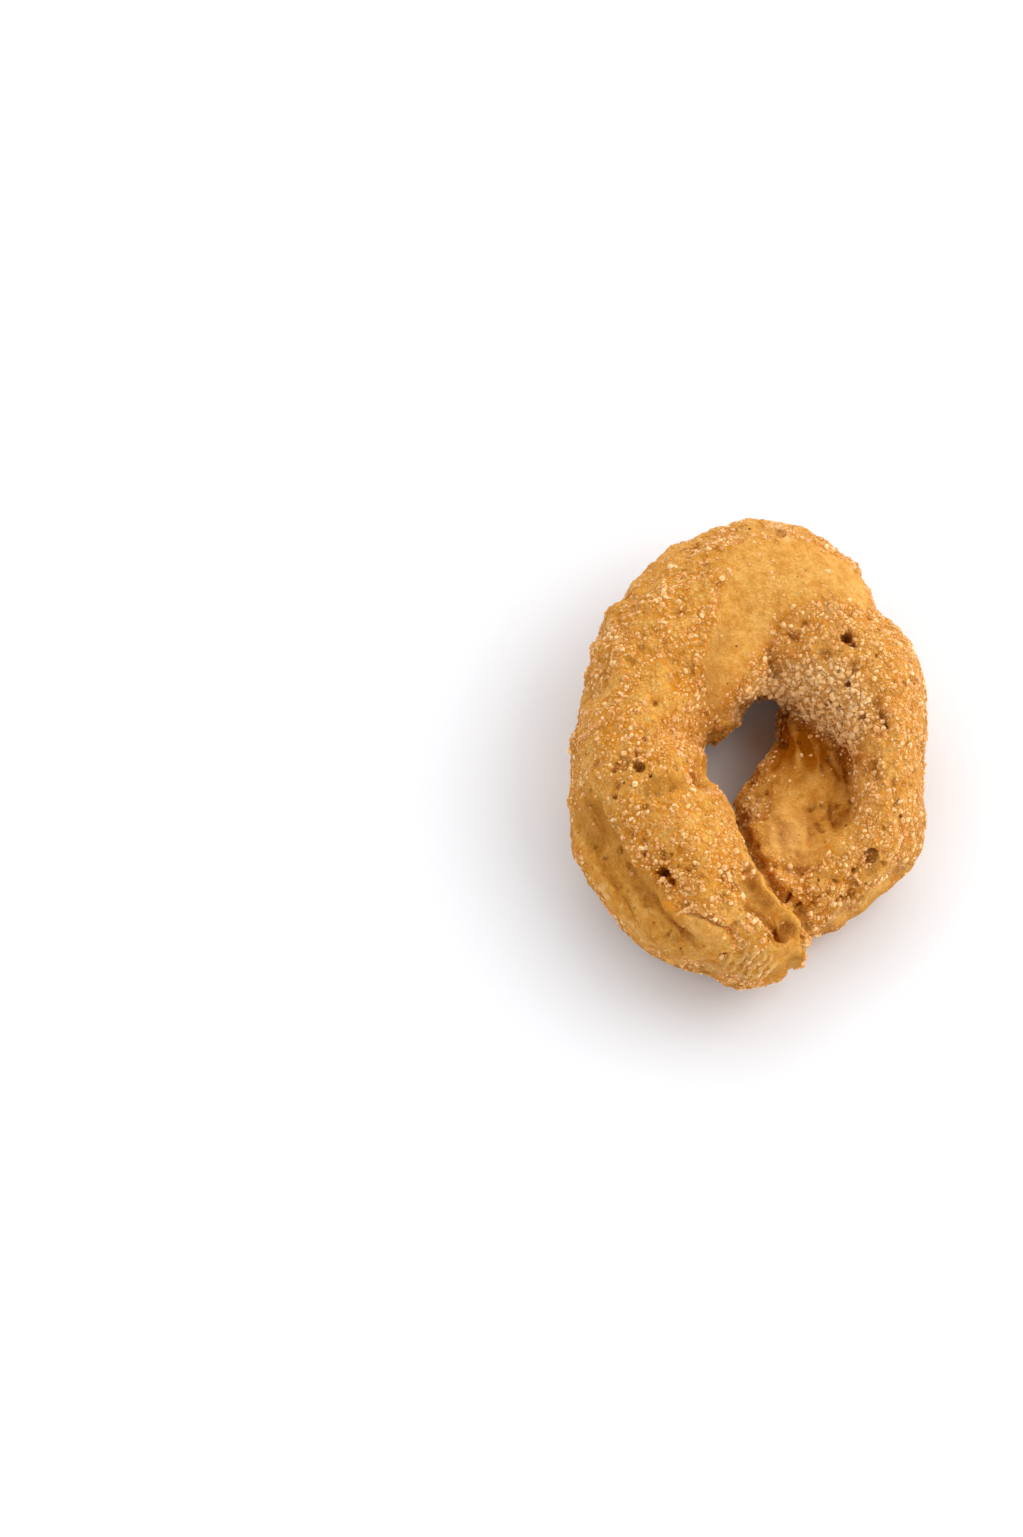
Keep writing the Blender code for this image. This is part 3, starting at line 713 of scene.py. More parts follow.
points = read_points(fused) / MM
normals = read_points(fused, "normal")
shares = crust_shares(points, normals)
print("bare share of the crust:", shares["bare"].mean().round(2))

# %% [markdown]
# ## Relief
# Every mark moves the skin in or out along its normal. Folds and lips are bell curves across a
# drawn line, with the step at a lip made by a bump on one side and a dip on the other. Bubbles
# are flat-bottomed dents. The crust's own waves come on top, and the sugared parts get grains.

# %% Grooves, ridges and lips
# line, height on it, half width, share of the line over which its ends fade
GROOVES = [
    (BAND_VALLEY, -0.65, 1.7, 0.25),
    (WAIST_CREASE, -0.45, 1.2, 0.10),
    (FOLD_VALLEY, -1.90, 0.95, 0.12),
    (FOLD_RIDGE, 1.00, 0.95, 0.20),
    (UPPER_RIDGE, 0.95, 1.00, 0.20),
    (HEM, -0.75, 0.40, 0.15),
    (PLEAT, 0.55, 0.40, 0.20),
    (LOWER_PLEAT, 0.50, 0.40, 0.20),
    (CREVICE, -0.80, 0.40, 0.05),
    (CREVICE_SHORE, 0.90, 1.00, 0.15),
    (LEDGE_BULGE, 0.90, 2.20, 0.30),
    (LEDGE_DIP, -0.70, 1.50, 0.30),
    (DARK_STREAKS[0], -0.35, 0.55, 0.15),
    (DARK_STREAKS[1], -0.35, 0.55, 0.15),
    (GOLDEN_STREAKS[0], 0.35, 0.60, 0.20),
    (GOLDEN_STREAKS[1], 0.30, 0.60, 0.20),
    (TONGUE, 0.95, 0.60, 0.15),
    (HOLLOW_FLOOR, -1.25, 0.75, 0.10),
    (SKIRT_CREASE, -0.65, 0.50, 0.08),
    (PALE_LIP, 0.35, 0.40, 0.20),
]
GROOVES += [(line, -0.55, 0.35, 0.20) for line in WAIST_SLITS]
GROOVES += [(line, -0.35, 0.40, 0.15) for line in NOSE_CREASES]
GROOVES += [(line, -0.40, 0.45, 0.15) for line in LEDGE_CREASES]
GROOVES += [(line, -0.80, 0.50, 0.15) for line in LOBE_CREASES]
HOLLOW_DEPTH = 0.95
HOLLOW_SINKS = 0.25
# line, rise on its left, fall on its right, half width of the rise and of the fall, fade
LIPS = [
    (LEFT_LIP, 0.35, -0.30, 0.9, 1.2, 0.15),
    (LOBE_LIP, -0.15, 0.45, 1.2, 1.6, 0.10),
    (SOFT_LIP, 0.35, -0.25, 1.2, 1.2, 0.20),
    (CRISP_LIP, 0.50, -0.45, 1.1, 0.9, 0.08),
]


def groove_relief(seen):
    """Sum of bells across the drawn lines, in mm: above zero stands out, below zero is pressed in."""
    height = np.zeros(len(seen))
    for line, rise, width, fade in GROOVES:
        gap, _, share = line_distance(seen, line)
        height += rise * ridge(gap, width) * fade_ends(share, fade)
    return height


def lip_relief(seen):
    """A sharp step at each line: one half bell on its left and another on its right."""
    height = np.zeros(len(seen))
    for line, left, right, left_width, right_width, fade in LIPS:
        gap, side, share = line_distance(seen, line)
        step = np.where(side > 0, left * ridge(gap, left_width), right * ridge(gap, right_width))
        height += step * ramp(gap, 0.0, 0.25) * fade_ends(share, fade)
    return height


def hollow_relief(seen):
    """The lap's hollow has a steep shore, and a floor that sinks towards its lower end."""
    inside = ramp(depth_inside(seen, HOLLOW), -0.1, 0.55)
    return -inside * (HOLLOW_DEPTH + HOLLOW_SINKS * ramp(-seen[:, 1], 16.0, 21.0))


print(len(GROOVES), "grooves and ridges,", len(LIPS), "lips")

# %% Wider and narrower places
RAISED_TOP = 0.75
# u, v, shift in mm, reach, and which way the skin faces there: 1 right, -1 left, 0 either
EDGES = [
    (-25.0, 4.0, -0.3, 2.5, 0), (-24.4, 9.0, -0.6, 2.5, 0), (-22.9, 13.6, -1.5, 2.0, 0),
    (-22.2, 17.4, -1.2, 2.0, 0), (-20.6, 21.5, -0.8, 2.5, 0), (-17.4, 26.8, -0.8, 2.5, 0),
    (-14.6, 29.6, -1.25, 2.5, 0), (-11.0, 32.7, -1.0, 2.5, 0), (-7.5, 34.7, -0.9, 2.5, 0),
    (-3.5, 36.2, -0.6, 2.5, 0), (12.9, 32.8, -0.65, 2.0, 0), (16.6, 28.6, -0.35, 2.0, 0),
    (18.2, 24.5, -0.7, 2.0, 0), (22.0, 21.3, 0.3, 2.0, 0), (24.2, 17.0, -0.1, 2.5, 0),
    (25.1, 11.0, -0.55, 2.5, 0), (24.9, 4.5, -0.2, 2.5, 0), (25.1, -4.8, 0.45, 2.0, 0),
    (24.6, -8.5, 0.8, 2.0, 0), (22.9, -11.4, 0.6, 2.0, 0), (20.0, -14.5, 0.25, 2.0, 0),
    (16.4, -17.6, 0.42, 2.0, 0), (12.6, -20.2, 0.7, 1.6, 0), (8.9, -22.9, -1.5, 1.1, 0),
    (9.4, -24.6, -0.9, 1.1, 0), (7.9, -24.9, -0.3, 1.0, 0), (2.8, -28.1, -0.35, 1.5, 0),
    (-5.4, -27.0, -0.7, 2.0, 0), (-8.7, -26.0, -0.25, 2.0, 0), (-14.5, -23.1, 0.25, 2.0, 0),
    (-22.9, -12.2, -0.3, 2.0, 0), (-25.2, -2.0, 0.45, 2.0, 0), (10.1, -21.8, 0.8, 0.9, 0),
    (5.6, -26.6, 0.3, 1.2, 0), (-5.8, 2.3, -3.8, 1.1, 0), (-4.9, 1.2, -3.0, 1.1, 1),
    (-4.0, 0.0, -1.0, 1.0, 1), (-3.2, -1.0, -0.6, 1.0, 1), (-2.4, -1.9, -0.3, 1.0, 1),
    (-4.4, 4.9, 3.4, 0.8, 0), (-4.2, 6.4, -0.9, 0.8, 0), (0.2, 10.0, -2.2, 1.2, 0),
    (1.6, 10.6, -2.2, 1.2, 0), (3.0, 10.9, -1.8, 1.0, 0), (-2.8, 6.9, -0.4, 1.0, 0),
    (3.7, 9.6, 0.8, 1.2, -1), (3.9, 7.2, 0.55, 1.2, -1), (3.6, 5.8, 0.7, 1.2, -1),
    (2.7, 4.4, 0.6, 1.2, -1), (1.9, 3.0, 0.3, 1.2, -1), (-0.5, 0.0, 0.5, 1.2, -1),
    (-1.0, -1.3, 0.5, 1.2, -1), (-1.5, -2.4, 0.5, 1.0, -1),
]


def edge_relief(points, normals, shares):
    """Where the ring is a little wider or narrower than its strands: bells at places on its edges.

    Where bells overlap, their sum is divided by the sum of their weights, so it is a mean of the shifts.
    """
    seen = as_seen(points)
    total, weights = np.zeros(len(seen)), np.zeros(len(seen))
    for u, v, shift, reach, facing in EDGES:
        weight = ridge(np.linalg.norm(seen - (u, v), axis=1), reach)
        if facing:
            weight = weight * ramp(facing * normals[:, 0], -0.2, 0.2)
        total += weight * shift
        weights += weight
    raised_top = RAISED_TOP * ramp(normals @ UPWARDS, 0.4, 0.95) * ramp(seen[:, 1], 20.0, 30.0)
    return shares["near"] * total / np.maximum(weights, 1.0) + raised_top


drawn = groove_relief(shares["seen"]) + lip_relief(shares["seen"]) + hollow_relief(shares["seen"])
fold_height = shares["front"] * drawn + edge_relief(points, normals, shares)
print("folds from", fold_height.min().round(2), "to", fold_height.max().round(2), "mm")

# %% Folded, and softened where walls meet
HOLE_CORNER = [(-5.4, 1.6), (-5.2, 3.4), (-4.3, 5.0), (-3.6, 6.2)]
PINCHES = [(CREVICE[5:], 1.6), (CREVICE, 1.0), (NOSE_CREASES[0], 1.2)]
PINCHES += [(HOLLOW_FLOOR, 0.8), (HOLE_CORNER, 1.2)]
PINCH_SOFTENING = 14

write_points(fused, points + normals * fold_height[:, None])
pinched = np.minimum.reduce([line_distance(shares["seen"], line)[0] - width for line, width in PINCHES]) < 0.0
at_pinch = dough.vertex_groups.new(name="pinched")
at_pinch.add(np.flatnonzero(pinched & (shares["front"] > 0.0)).tolist(), 1.0, "REPLACE")
even_out = dough.modifiers.new("even out", "SMOOTH")
even_out.factor = 0.5
even_out.iterations = PINCH_SOFTENING
even_out.vertex_group = "pinched"
fused = finished_mesh(dough)
dough.vertex_groups.clear()
points = read_points(fused) / MM
normals = read_points(fused, "normal")
print("softened at pinches:", int(pinched.sum()), "points")

# %% Bubbles and wrinkles
WRINKLE_PLACE = (0.7, -25.3)
WRINKLE_REACH = (3.8, 2.8)
WRINKLE_STEP = 1.2
WRINKLE_TURN = math.radians(30)
WRINKLE_HEIGHT = 0.42
WRINKLE_BEND = 0.06
WRINKLE_SHAKE = 0.55


def pit_relief(seen):
    """Dents with a flat floor and a steep wall: depth times e to the minus fourth power of the distance."""
    height = np.zeros(len(seen))
    for u, v, radius, depth in PITS:
        gap = np.linalg.norm(seen - (u, v), axis=1)
        height -= depth * np.exp(-((gap / radius) ** 4))
    return height


def wrinkle_relief(seen):
    """Thin raised folds of skin: the cube of a sine wave's height across them, inside an oval."""
    u, v = (seen - WRINKLE_PLACE).T
    oval = ramp(1.0 - (u / WRINKLE_REACH[0]) ** 2 - (v / WRINKLE_REACH[1]) ** 2, -0.2, 0.6)
    run = u * math.cos(WRINKLE_TURN) - v * math.sin(WRINKLE_TURN) + WRINKLE_BEND * v * v
    run = run + WRINKLE_SHAKE * waves(np.column_stack([seen, seen[:, 0]]), 1.8, 91)
    return WRINKLE_HEIGHT * oval * (np.abs(np.sin(run * math.pi / WRINKLE_STEP)) ** 3 - 0.4)


pit_height = shares["front"] * pit_relief(shares["seen"])
wrinkle_height = shares["front"] * wrinkle_relief(shares["seen"])
print("deepest bubble:", pit_height.min().round(2), "mm")

# %% The crust's own unevenness
MELTED_COAT = 0.22
# length, width and seed of the streaks that the stretched parts show in relief and in colour
WIDE_STREAKS = (4.5, 1.3, 25)
FINE_STREAKS = (2.4, 0.7, 28)


def crust_relief(points, shares):
    """Waves everywhere, streaks where stretched or bare, and lumps, grains and small caves where sugared."""
    bare, lobe, fold, ledge = (shares[name] for name in ("bare", "lobe", "fold", "ledge"))
    sugared = 1.0 - bare
    stretched = np.maximum(fold, ledge)
    # height, size and seed
    lumps = [
        (0.32, 8.0, 11),
        (0.18 * (1.0 - 0.4 * bare), 2.6, 21),
        (0.28 * stretched, 1.4, 29),
        (0.40 * sugared * (1.0 - lobe), 3.4, 26),
        (0.22 * sugared, 1.7, 27),
        (sugared * (0.06 + 0.15 * lobe), 1.3, 22),
        (0.05, 0.6, 41),
    ]
    # height, and length, width and seed
    pulled = [
        (0.30 * fold + 0.50 * ledge, WIDE_STREAKS),
        (0.22 * stretched, FINE_STREAKS),
        (0.09 * bare, (5.0, 0.9, 23)),
        (0.05 * bare, (3.0, 0.45, 24)),
    ]
    # height, distance at which it is nought, size and seed
    grains = [
        (0.30 * lobe, 0.45, 1.7, 52),
        (0.75 * shares["crumb"], 0.40, 2.2, 51),
        (0.36 * sugared, 0.45, 0.95, 31),
    ]
    height = -MELTED_COAT * sugared
    height += sum(rise * waves(points, size, seed) for rise, size, seed in lumps)
    height += sum(rise * streaks(lengthwise, *streak) for rise, streak in pulled)
    height += sum(rise * (level - grain_distance(points, size, seed)) for rise, level, size, seed in grains)
    cave = waves(points, 1.5, 81) + 0.6 * waves(points, 3.4, 82)
    height -= (0.35 * sugared + 0.15 * lobe + 0.2 * shares["crumb"]) * ramp(cave, 0.62, 0.95)
    dimple = waves(points, 1.0, 83) + 0.4 * waves(points, 3.0, 84)
    return height - 0.45 * stretched * ramp(dimple, 0.55, 0.85)


on_ledge = depth_inside(shares["seen"], LEDGE_EDGE) > -1.5
lengthwise = np.where(on_ledge[:, None], fan_places(shares["seen"]), strand_places(points))
crust_height = crust_relief(points, shares)
relief = pit_height + wrinkle_height + crust_height
print("relief from", relief.min().round(2), "to", relief.max().round(2), "mm")

# %% [markdown]
# ## The flat underside
# The ring was baked on a tray, so its underside is pressed flat. Whatever the relief pushed
# below the tray's level is set on it, and the frame's origin moves to the ring's middle.

# %% Dough in the frame
points = points + normals * relief[:, None] - RING_MIDDLE
tray_share = 1.0 - ramp(points[:, 2], 0.0, 2.5)
points[:, 2] = np.maximum(points[:, 2], 0.0)
write_points(fused, points)
fused.shade_smooth()
print("dough box in mm:", points.min(axis=0).round(2), points.max(axis=0).round(2))

# %% [markdown]
# ## How much sugar lies where
# The coat is thickest along the hole's upper right rim, where crystals are heaped, and down the
# right side. On the left it is thinner and comes in patches, and on the bare parts only a few
# grains have stuck. We draw the heaped and the thin places, and break them up with waves.

# %% Sugar share at every point
HEAPED_RIM = [
    (-2.5, 9.5), (-0.5, 13.5), (3.0, 16.5), (8.0, 18.0), (13.5, 17.0), (16.8, 12.5), (17.0, 7.5),
    (14.6, 4.8), (12.0, 6.2), (9.0, 8.2), (5.0, 10.2), (1.5, 9.8), (-0.5, 9.0),
]
SUGARY_LEFT = [
    (-6.6, 2.5), (-4.4, -2.0), (-2.4, -7.0), (-1.6, -12.0), (-3.0, -17.5), (-7.0, -16.5),
    (-10.5, -12.0), (-9.5, -5.0), (-8.4, 0.0),
]
THIN_LEFT = [(-16.5, 3.5), (-9.0, 4.0), (-7.0, 1.5), (-11.0, -3.0), (-17.0, -3.0), (-20.0, 0.5)]
THIN_EDGE = [
    (-24.5, 3.0), (-22.0, 1.0), (-19.0, -4.0), (-16.0, -9.0), (-13.5, -13.5), (-17.5, -11.0),
    (-21.5, -5.5), (-25.0, -1.0),
]
SUGARED_SHORES = [
    (HOLLOW[:7], 0.45, 0.7), (CRISP_LIP, 0.5, 0.6), (LEFT_LIP, 0.8, 0.3), (LOBE_LIP, 0.9, 0.5),
]
PLAIN_SUGAR = 0.58
MORE_ON_LOBE = 0.17
MORE_ON_LEFT = 0.22
LESS_WHERE_THIN = 0.3
CLEAR_OF_CREVICE = 0.85
CLEAR_OF_TRAY = 0.85


def lines_share(seen, lines):
    """The strongest of the bells across the lines, each a line, a width and a strength."""
    bells = [strength * ridge(line_distance(seen, line)[0], width) for line, width, strength in lines]
    return np.maximum.reduce(bells)


def spots_share(seen, spots):
    """The strongest of the bells round the spots, each u, v, a radius and a strength."""
    gaps = [(np.linalg.norm(seen - (u, v), axis=1), radius, strength) for u, v, radius, strength in spots]
    return np.maximum.reduce([strength * ridge(gap, radius) for gap, radius, strength in gaps])


def sugar_share(points, shares, tray_share):
    """From 0, bare, to 1, heaped: a level for each drawn place, broken up by waves of 4 and 1.6 mm."""
    seen = shares["seen"]
    front = shares["front"]
    level = PLAIN_SUGAR + MORE_ON_LOBE * shares["lobe"]
    heaped = front * ramp(depth_inside(seen, HEAPED_RIM), -1.0, 1.0)
    level = level + (1.0 - level) * heaped
    level += MORE_ON_LEFT * front * ramp(depth_inside(seen, SUGARY_LEFT), -1.0, 1.0)
    level -= LESS_WHERE_THIN * front * ramp(depth_inside(seen, THIN_LEFT), -1.2, 1.2)
    level -= LESS_WHERE_THIN * front * ramp(depth_inside(seen, THIN_EDGE), -1.0, 1.0)
    patches = ramp(waves(points, 3.2, 61) + 0.7 * waves(points, 1.5, 62), -0.8, 0.5)
    patchy = 1.0 - 0.8 * heaped - 0.4 * shares["lobe"] * (1.0 - heaped)
    level *= 1.0 - patchy + 1.45 * patchy * patches
    at_crevice = ridge(line_distance(seen, CREVICE)[0], 1.3)
    level *= (1.0 - shares["bare"]) * (1.0 - CLEAR_OF_CREVICE * at_crevice)
    level += front * lines_share(seen, SUGARED_SHORES)
    level += 0.02 * shares["bare"]
    level *= 1.0 - ramp(-pit_height, 0.15, 0.5)
    return np.clip(level, 0.0, 1.0) * (1.0 - CLEAR_OF_TRAY * tray_share), heaped


sugar, heaped = sugar_share(points + RING_MIDDLE, shares, tray_share)
print("mean sugar share:", sugar.mean().round(2), "heaped points:", int((heaped > 0.5).sum()))

# %% [markdown]
# ## Colours that follow the form
# Hollows, creases, pits, dents and the cavity under the overhang get painted shade in deep amber, the
# colour that light bouncing from wall to wall would give them. The drawn valleys, the shaded ledge
# and the ring's steep flanks get painted shade in a greyer brown, and a few drawn patches are that
# brown too. Thin flakes and melted films are cream, and the cream on the wrinkles' crests, a pleat's
# ridge and the lap's steep shore is painted light. We keep these as numbers at each point for the
# material to read: sugar, bare, hollow shade, brown and its shade, cream and its light, and tray.

# %% Where the colours lie
# the cavity under the overhang, where the overhang's shadow is painted
CAVITY = [
    (3.8, 12.2), (10.4, 10.8), (15.0, 6.8), (15.6, 3.4), (13.0, 2.0), (10.6, 0.6), (8.6, 0.2),
    (6.0, -0.2), (4.0, 0.8), (2.6, 2.6), (3.4, 6.5),
]
LEDGE_SHADE = [
    (-1.6, -4.5), (-0.2, -1.5), (2.6, 1.2), (5.5, 0.2), (5.2, -3.0), (3.6, -5.0), (3.4, -8.0),
    (1.5, -9.8), (-0.4, -8.0),
]
# painted shade along dark streaks, the hollow's floor, the crevice and a ledge crease, and in pits
HOLLOW_SHADE_LINES = [(line, 0.6, 1.0) for line in DARK_STREAKS]
HOLLOW_SHADE_LINES += [(HOLLOW_FLOOR, 0.7, 0.40), (CREVICE, 0.35, 0.30), (LEDGE_CREASES[0], 0.7, 0.8)]
HOLLOW_SHADE_SPOTS = [
    (5.0, -21.0, 1.25, 0.95), (-12.2, -12.7, 1.6, 0.8), (-11.0, -13.6, 1.1, 0.7),
    (14.0, 20.4, 1.1, 0.5), (9.6, -2.8, 1.6, 0.35), (17.0, -11.0, 1.6, 0.4),
]
FOLD_TOP = [(-24.0, -1.5), (-21.6, -3.2), (-19.0, -7.0), (-20.2, -9.4), (-22.8, -8.6), (-24.6, -5.0)]
# browner drawn patches; on the shaded ledge this brown is painted shade
BROWN_AND_SHADE_AREAS = [
    (WAIST_PATCH, 0.8, 0.8), (LEDGE_SHADE, 1.0, 0.35), (HOLLOW, 0.4, 0.30), (FOLD_TOP, 1.0, 0.75),
]
# painted shade along the valleys and under the lips
VALLEY_SHADE_LINES = [(FOLD_VALLEY, 1.1, 0.60), (BAND_VALLEY[:4], 1.3, 0.6), (SOFT_LIP, 1.2, 0.3), (HEM, 1.2, 0.5)]
# pale films of melted sugar; the spot at (0.7, -10.7) is painted light on the lap's steep shore
CREAM_AND_LIGHT_SPOTS = [
    (-20.6, -14.4, 0.7, 1.0), (-19.9, -15.6, 0.6, 1.0), (12.0, 24.8, 1.3, 0.7), (10.9, 24.0, 1.0, 0.6),
    (0.7, -10.7, 1.4, 0.40), (0.6, -3.2, 1.5, 0.55), (5.6, -7.6, 3.0, 0.40), (-7.0, -19.4, 1.8, 0.35),
    (-4.2, -20.6, 1.2, 0.30),
]
# melted films along these lines, and painted light on the lower pleat's ridge
CREAM_AND_CREST_LIGHT_LINES = [
    (PALE_LIP, 0.45, 0.9), (SKIRT_CREASE, 0.35, 0.5), (HEM, 0.5, 0.6), (LOWER_PLEAT, 0.35, 0.4),
    (HOLLOW[:7], 0.3, 0.6),
]


def hollow_shade_share(shares, dents):
    """Painted shade, as deep as a point lies in a hollow: drawn grooves and pits, the streaked cavity under
    the overhang, and dents in the crust.
    """
    seen = shares["seen"]
    pulled = 0.8 * streaks(lengthwise, *WIDE_STREAKS) + 0.8 * streaks(lengthwise, *FINE_STREAKS)
    # the cavity's painted shade deepens towards its top, under the overhang, and is broken by streaks
    cavity = ramp(depth_inside(seen, CAVITY), -1.8, 2.4) * (0.56 + 0.54 * ramp(seen[:, 1], 1.0, 6.0))
    cavity *= 1.1 - 0.95 * pulled
    cavity *= 1.0 - lines_share(seen, [(line, 0.55, 0.65) for line in GOLDEN_STREAKS])
    flakes = 0.50 * shares["ledge"] * ramp(-pulled, -0.1, 0.8)
    drawn = np.maximum(lines_share(seen, HOLLOW_SHADE_LINES), spots_share(seen, HOLLOW_SHADE_SPOTS))
    drawn = np.maximum.reduce([cavity, flakes, drawn])
    return np.clip(shares["front"] * drawn + 0.5 * ramp(-dents, 0.45, 1.1), 0.0, 1.0)


def brown_and_shade_share(shares):
    """Painted shade in the drawn valleys, on the shaded ledge and on the ring's steep flanks, and browner
    colour in the other drawn patches.
    """
    seen = shares["seen"]
    areas = [strength * ramp(depth_inside(seen, area), -soft, soft) for area, soft, strength in BROWN_AND_SHADE_AREAS]
    shores = lines_share(seen, [(CREVICE_SHORE, 1.5, 1.0), (CREVICE, 1.7, 1.0)])
    # painted shade on the steep flanks, less along the crevice's shores
    flank_shade = 0.6 * ramp(0.65 - normals[:, 2], 0.0, 0.8) * (1.0 - 0.85 * shores)
    return np.maximum.reduce([*areas, lines_share(seen, VALLEY_SHADE_LINES), flank_shade])


def cream_and_light_share(shares):
    """Cream: melted films in drawn lines and spots, on the heap and a little on band and lobe, and painted
    light on the wrinkles' crests, a pleat's ridge and the lap's steep shore.
    """
    seen = shares["seen"]
    drawn = np.maximum(lines_share(seen, CREAM_AND_CREST_LIGHT_LINES), spots_share(seen, CREAM_AND_LIGHT_SPOTS))
    # painted highlight on the wrinkles' crests
    wrinkle_crest_light = 0.75 * ramp(wrinkle_height, 0.0, 0.14)
    thin_film = np.maximum(0.13 * shares["band"], 0.10 * shares["lobe"])
    return shares["front"] * np.maximum.reduce([drawn, wrinkle_crest_light, 0.45 * heaped, thin_film])


print("amber spots:", len(HOLLOW_SHADE_SPOTS), "cream spots:", len(CREAM_AND_LIGHT_SPOTS))

# %% Attributes on the dough
STREAK_STRETCH = 0.22


def keep(mesh, name, values):
    """Stores one number at each point, for the material to read by name."""
    mesh.attributes.new(name, "FLOAT", "POINT").data.foreach_set("value", values.astype(np.float32))


# painted shade in hollows and under the overhang, kept for the material
hollow = hollow_shade_share(shares, pit_height + crust_height)
keep(fused, "sugar", sugar)
keep(fused, "bare", shares["bare"])
keep(fused, "hollow", hollow)
# painted shade and browner patches, kept for the material
keep(fused, "brown_and_painted_shade", brown_and_shade_share(shares))
keep(fused, "cream", cream_and_light_share(shares))
keep(fused, "tray", tray_share)
places = fused.attributes.new("lengthwise", "FLOAT_VECTOR", "POINT")
places.data.foreach_set("vector", (lengthwise * (STREAK_STRETCH, 1.0, 1.0)).astype(np.float32).ravel())
print("attributes:", [a.name for a in fused.attributes if a.data_type == "FLOAT"])

# %% [markdown]
# ## Baked dough
# The crust is golden where it is bare, amber in hollows as painted shade, and deeper where sugar
# has melted into it. Fine streaks run along the strand, pores as fine as pinholes dot it, and on
# the sugared parts half-melted grains show as low domes with pale rims of painted highlight.
# The underside, against the tray, is browner. A little light passes under the surface.

# %% Dough colours
GOLDEN = (0.76, 0.39, 0.082, 1.0)
HONEY = (0.71, 0.32, 0.046, 1.0)
# painted shade in hollows, creases and the cavity under the overhang
HOLLOW_SHADE_AMBER = (0.35, 0.092, 0.002, 1.0)
SHADED_BROWN = (0.41, 0.160, 0.019, 1.0)
CREAM = (0.86, 0.52, 0.19, 1.0)
# painted highlight on the rims of half-melted grains
PRINT_RIM_HIGHLIGHT = (0.95, 0.58, 0.19, 1.0)
SUGARED = (0.66, 0.235, 0.011, 1.0)
MELTED = (0.76, 0.40, 0.080, 1.0)
DEEP_ORANGE = (0.56, 0.20, 0.012, 1.0)
TRAY_BROWN = (0.42, 0.17, 0.04, 1.0)
PORE_BROWN = (0.12, 0.035, 0.004, 1.0)
print("golden crust has", round(GOLDEN[0] / GOLDEN[2], 1), "times as much red as blue")

# %% Helpers for finishes
def reading(tree, name, output="Fac"):
    """A number, or with another output a place or colour, that the mesh keeps at each point."""
    return add(tree, "Attribute", attribute_name=name).outputs[output]


def blend_colours(tree, share, first, second, kind="MIX"):
    """The first colour at share 0, the second at share 1."""
    return add(tree, "Mix", {0: share, 6: first, 7: second}, data_type="RGBA", blend_type=kind).outputs[2]


def noise(tree, where, size_mm, detail=2.0, roughness=0.5, output="Fac"):
    """Blender's noise with features of about the given size, from 0 to 1."""
    settings = {"Vector": where, "Scale": 1000.0 / size_mm, "Detail": detail, "Roughness": roughness}
    return add(tree, "TexNoise", settings).outputs[output]


def bump_from(tree, surface, height, distance, strength):
    """Tilts the surface's normal as if it rose by height times distance, in metres."""
    bump = add(tree, "Bump", {"Height": height, "Distance": distance, "Strength": strength})
    tree.links.new(bump.outputs["Normal"], surface.inputs["Normal"])


print("a noise of 2 mm has a scale of", 1000.0 / 2)

# %% Prints of half-melted grains
def shaken(tree, where, reach_mm, size_mm):
    """A place moved about by noise, so that round cells come out uneven."""
    shift = noise(tree, where, size_mm, 1.0, output="Color")
    centred = add(tree, "VectorMath", {0: shift, 1: (0.5, 0.5, 0.5)}, operation="SUBTRACT").outputs[0]
    scaled = add(tree, "VectorMath", {0: centred, "Scale": reach_mm * MM}, operation="SCALE").outputs[0]
    return add(tree, "VectorMath", {0: where, 1: scaled}, operation="ADD").outputs[0]


def cells(tree, where, size_mm, channel):
    """Round cells of about a size: the distance to each one's middle, in cells, and its luck from 0 to 1."""
    found = add(tree, "TexVoronoi", {"Vector": where, "Scale": 1000.0 / size_mm}).outputs
    luck = add(tree, "SeparateColor", {"Color": found["Color"]}).outputs[channel]
    return found["Distance"], luck


def grain_print(tree, where, size_mm, amount):
    """The pale rim, a painted highlight, and the low dome of a grain, in the cells whose luck is below the
    amount.
    """
    distance, luck = cells(tree, where, size_mm, 0)
    chosen = between(tree, maths(tree, "SUBTRACT", amount, luck), -0.1, 0.1)
    dome = product(tree, between(tree, distance, 0.58, 0.24), chosen)
    return product(tree, between(tree, distance, 0.12, 0.30), dome), dome


def pinholes(tree, where, size_mm, rare_from, radius):
    """Round dots in the luckiest cells, each of its own radius, up to the one given in cells."""
    distance, luck = cells(tree, where, size_mm, 1)
    size = product(tree, between(tree, luck, rare_from, 1.0), radius)
    dot = between(tree, maths(tree, "SUBTRACT", distance, size), 0.025, 0.0)
    return product(tree, dot, between(tree, luck, rare_from, rare_from + 0.03))


print("the smallest print is a cell of 0.50 mm")

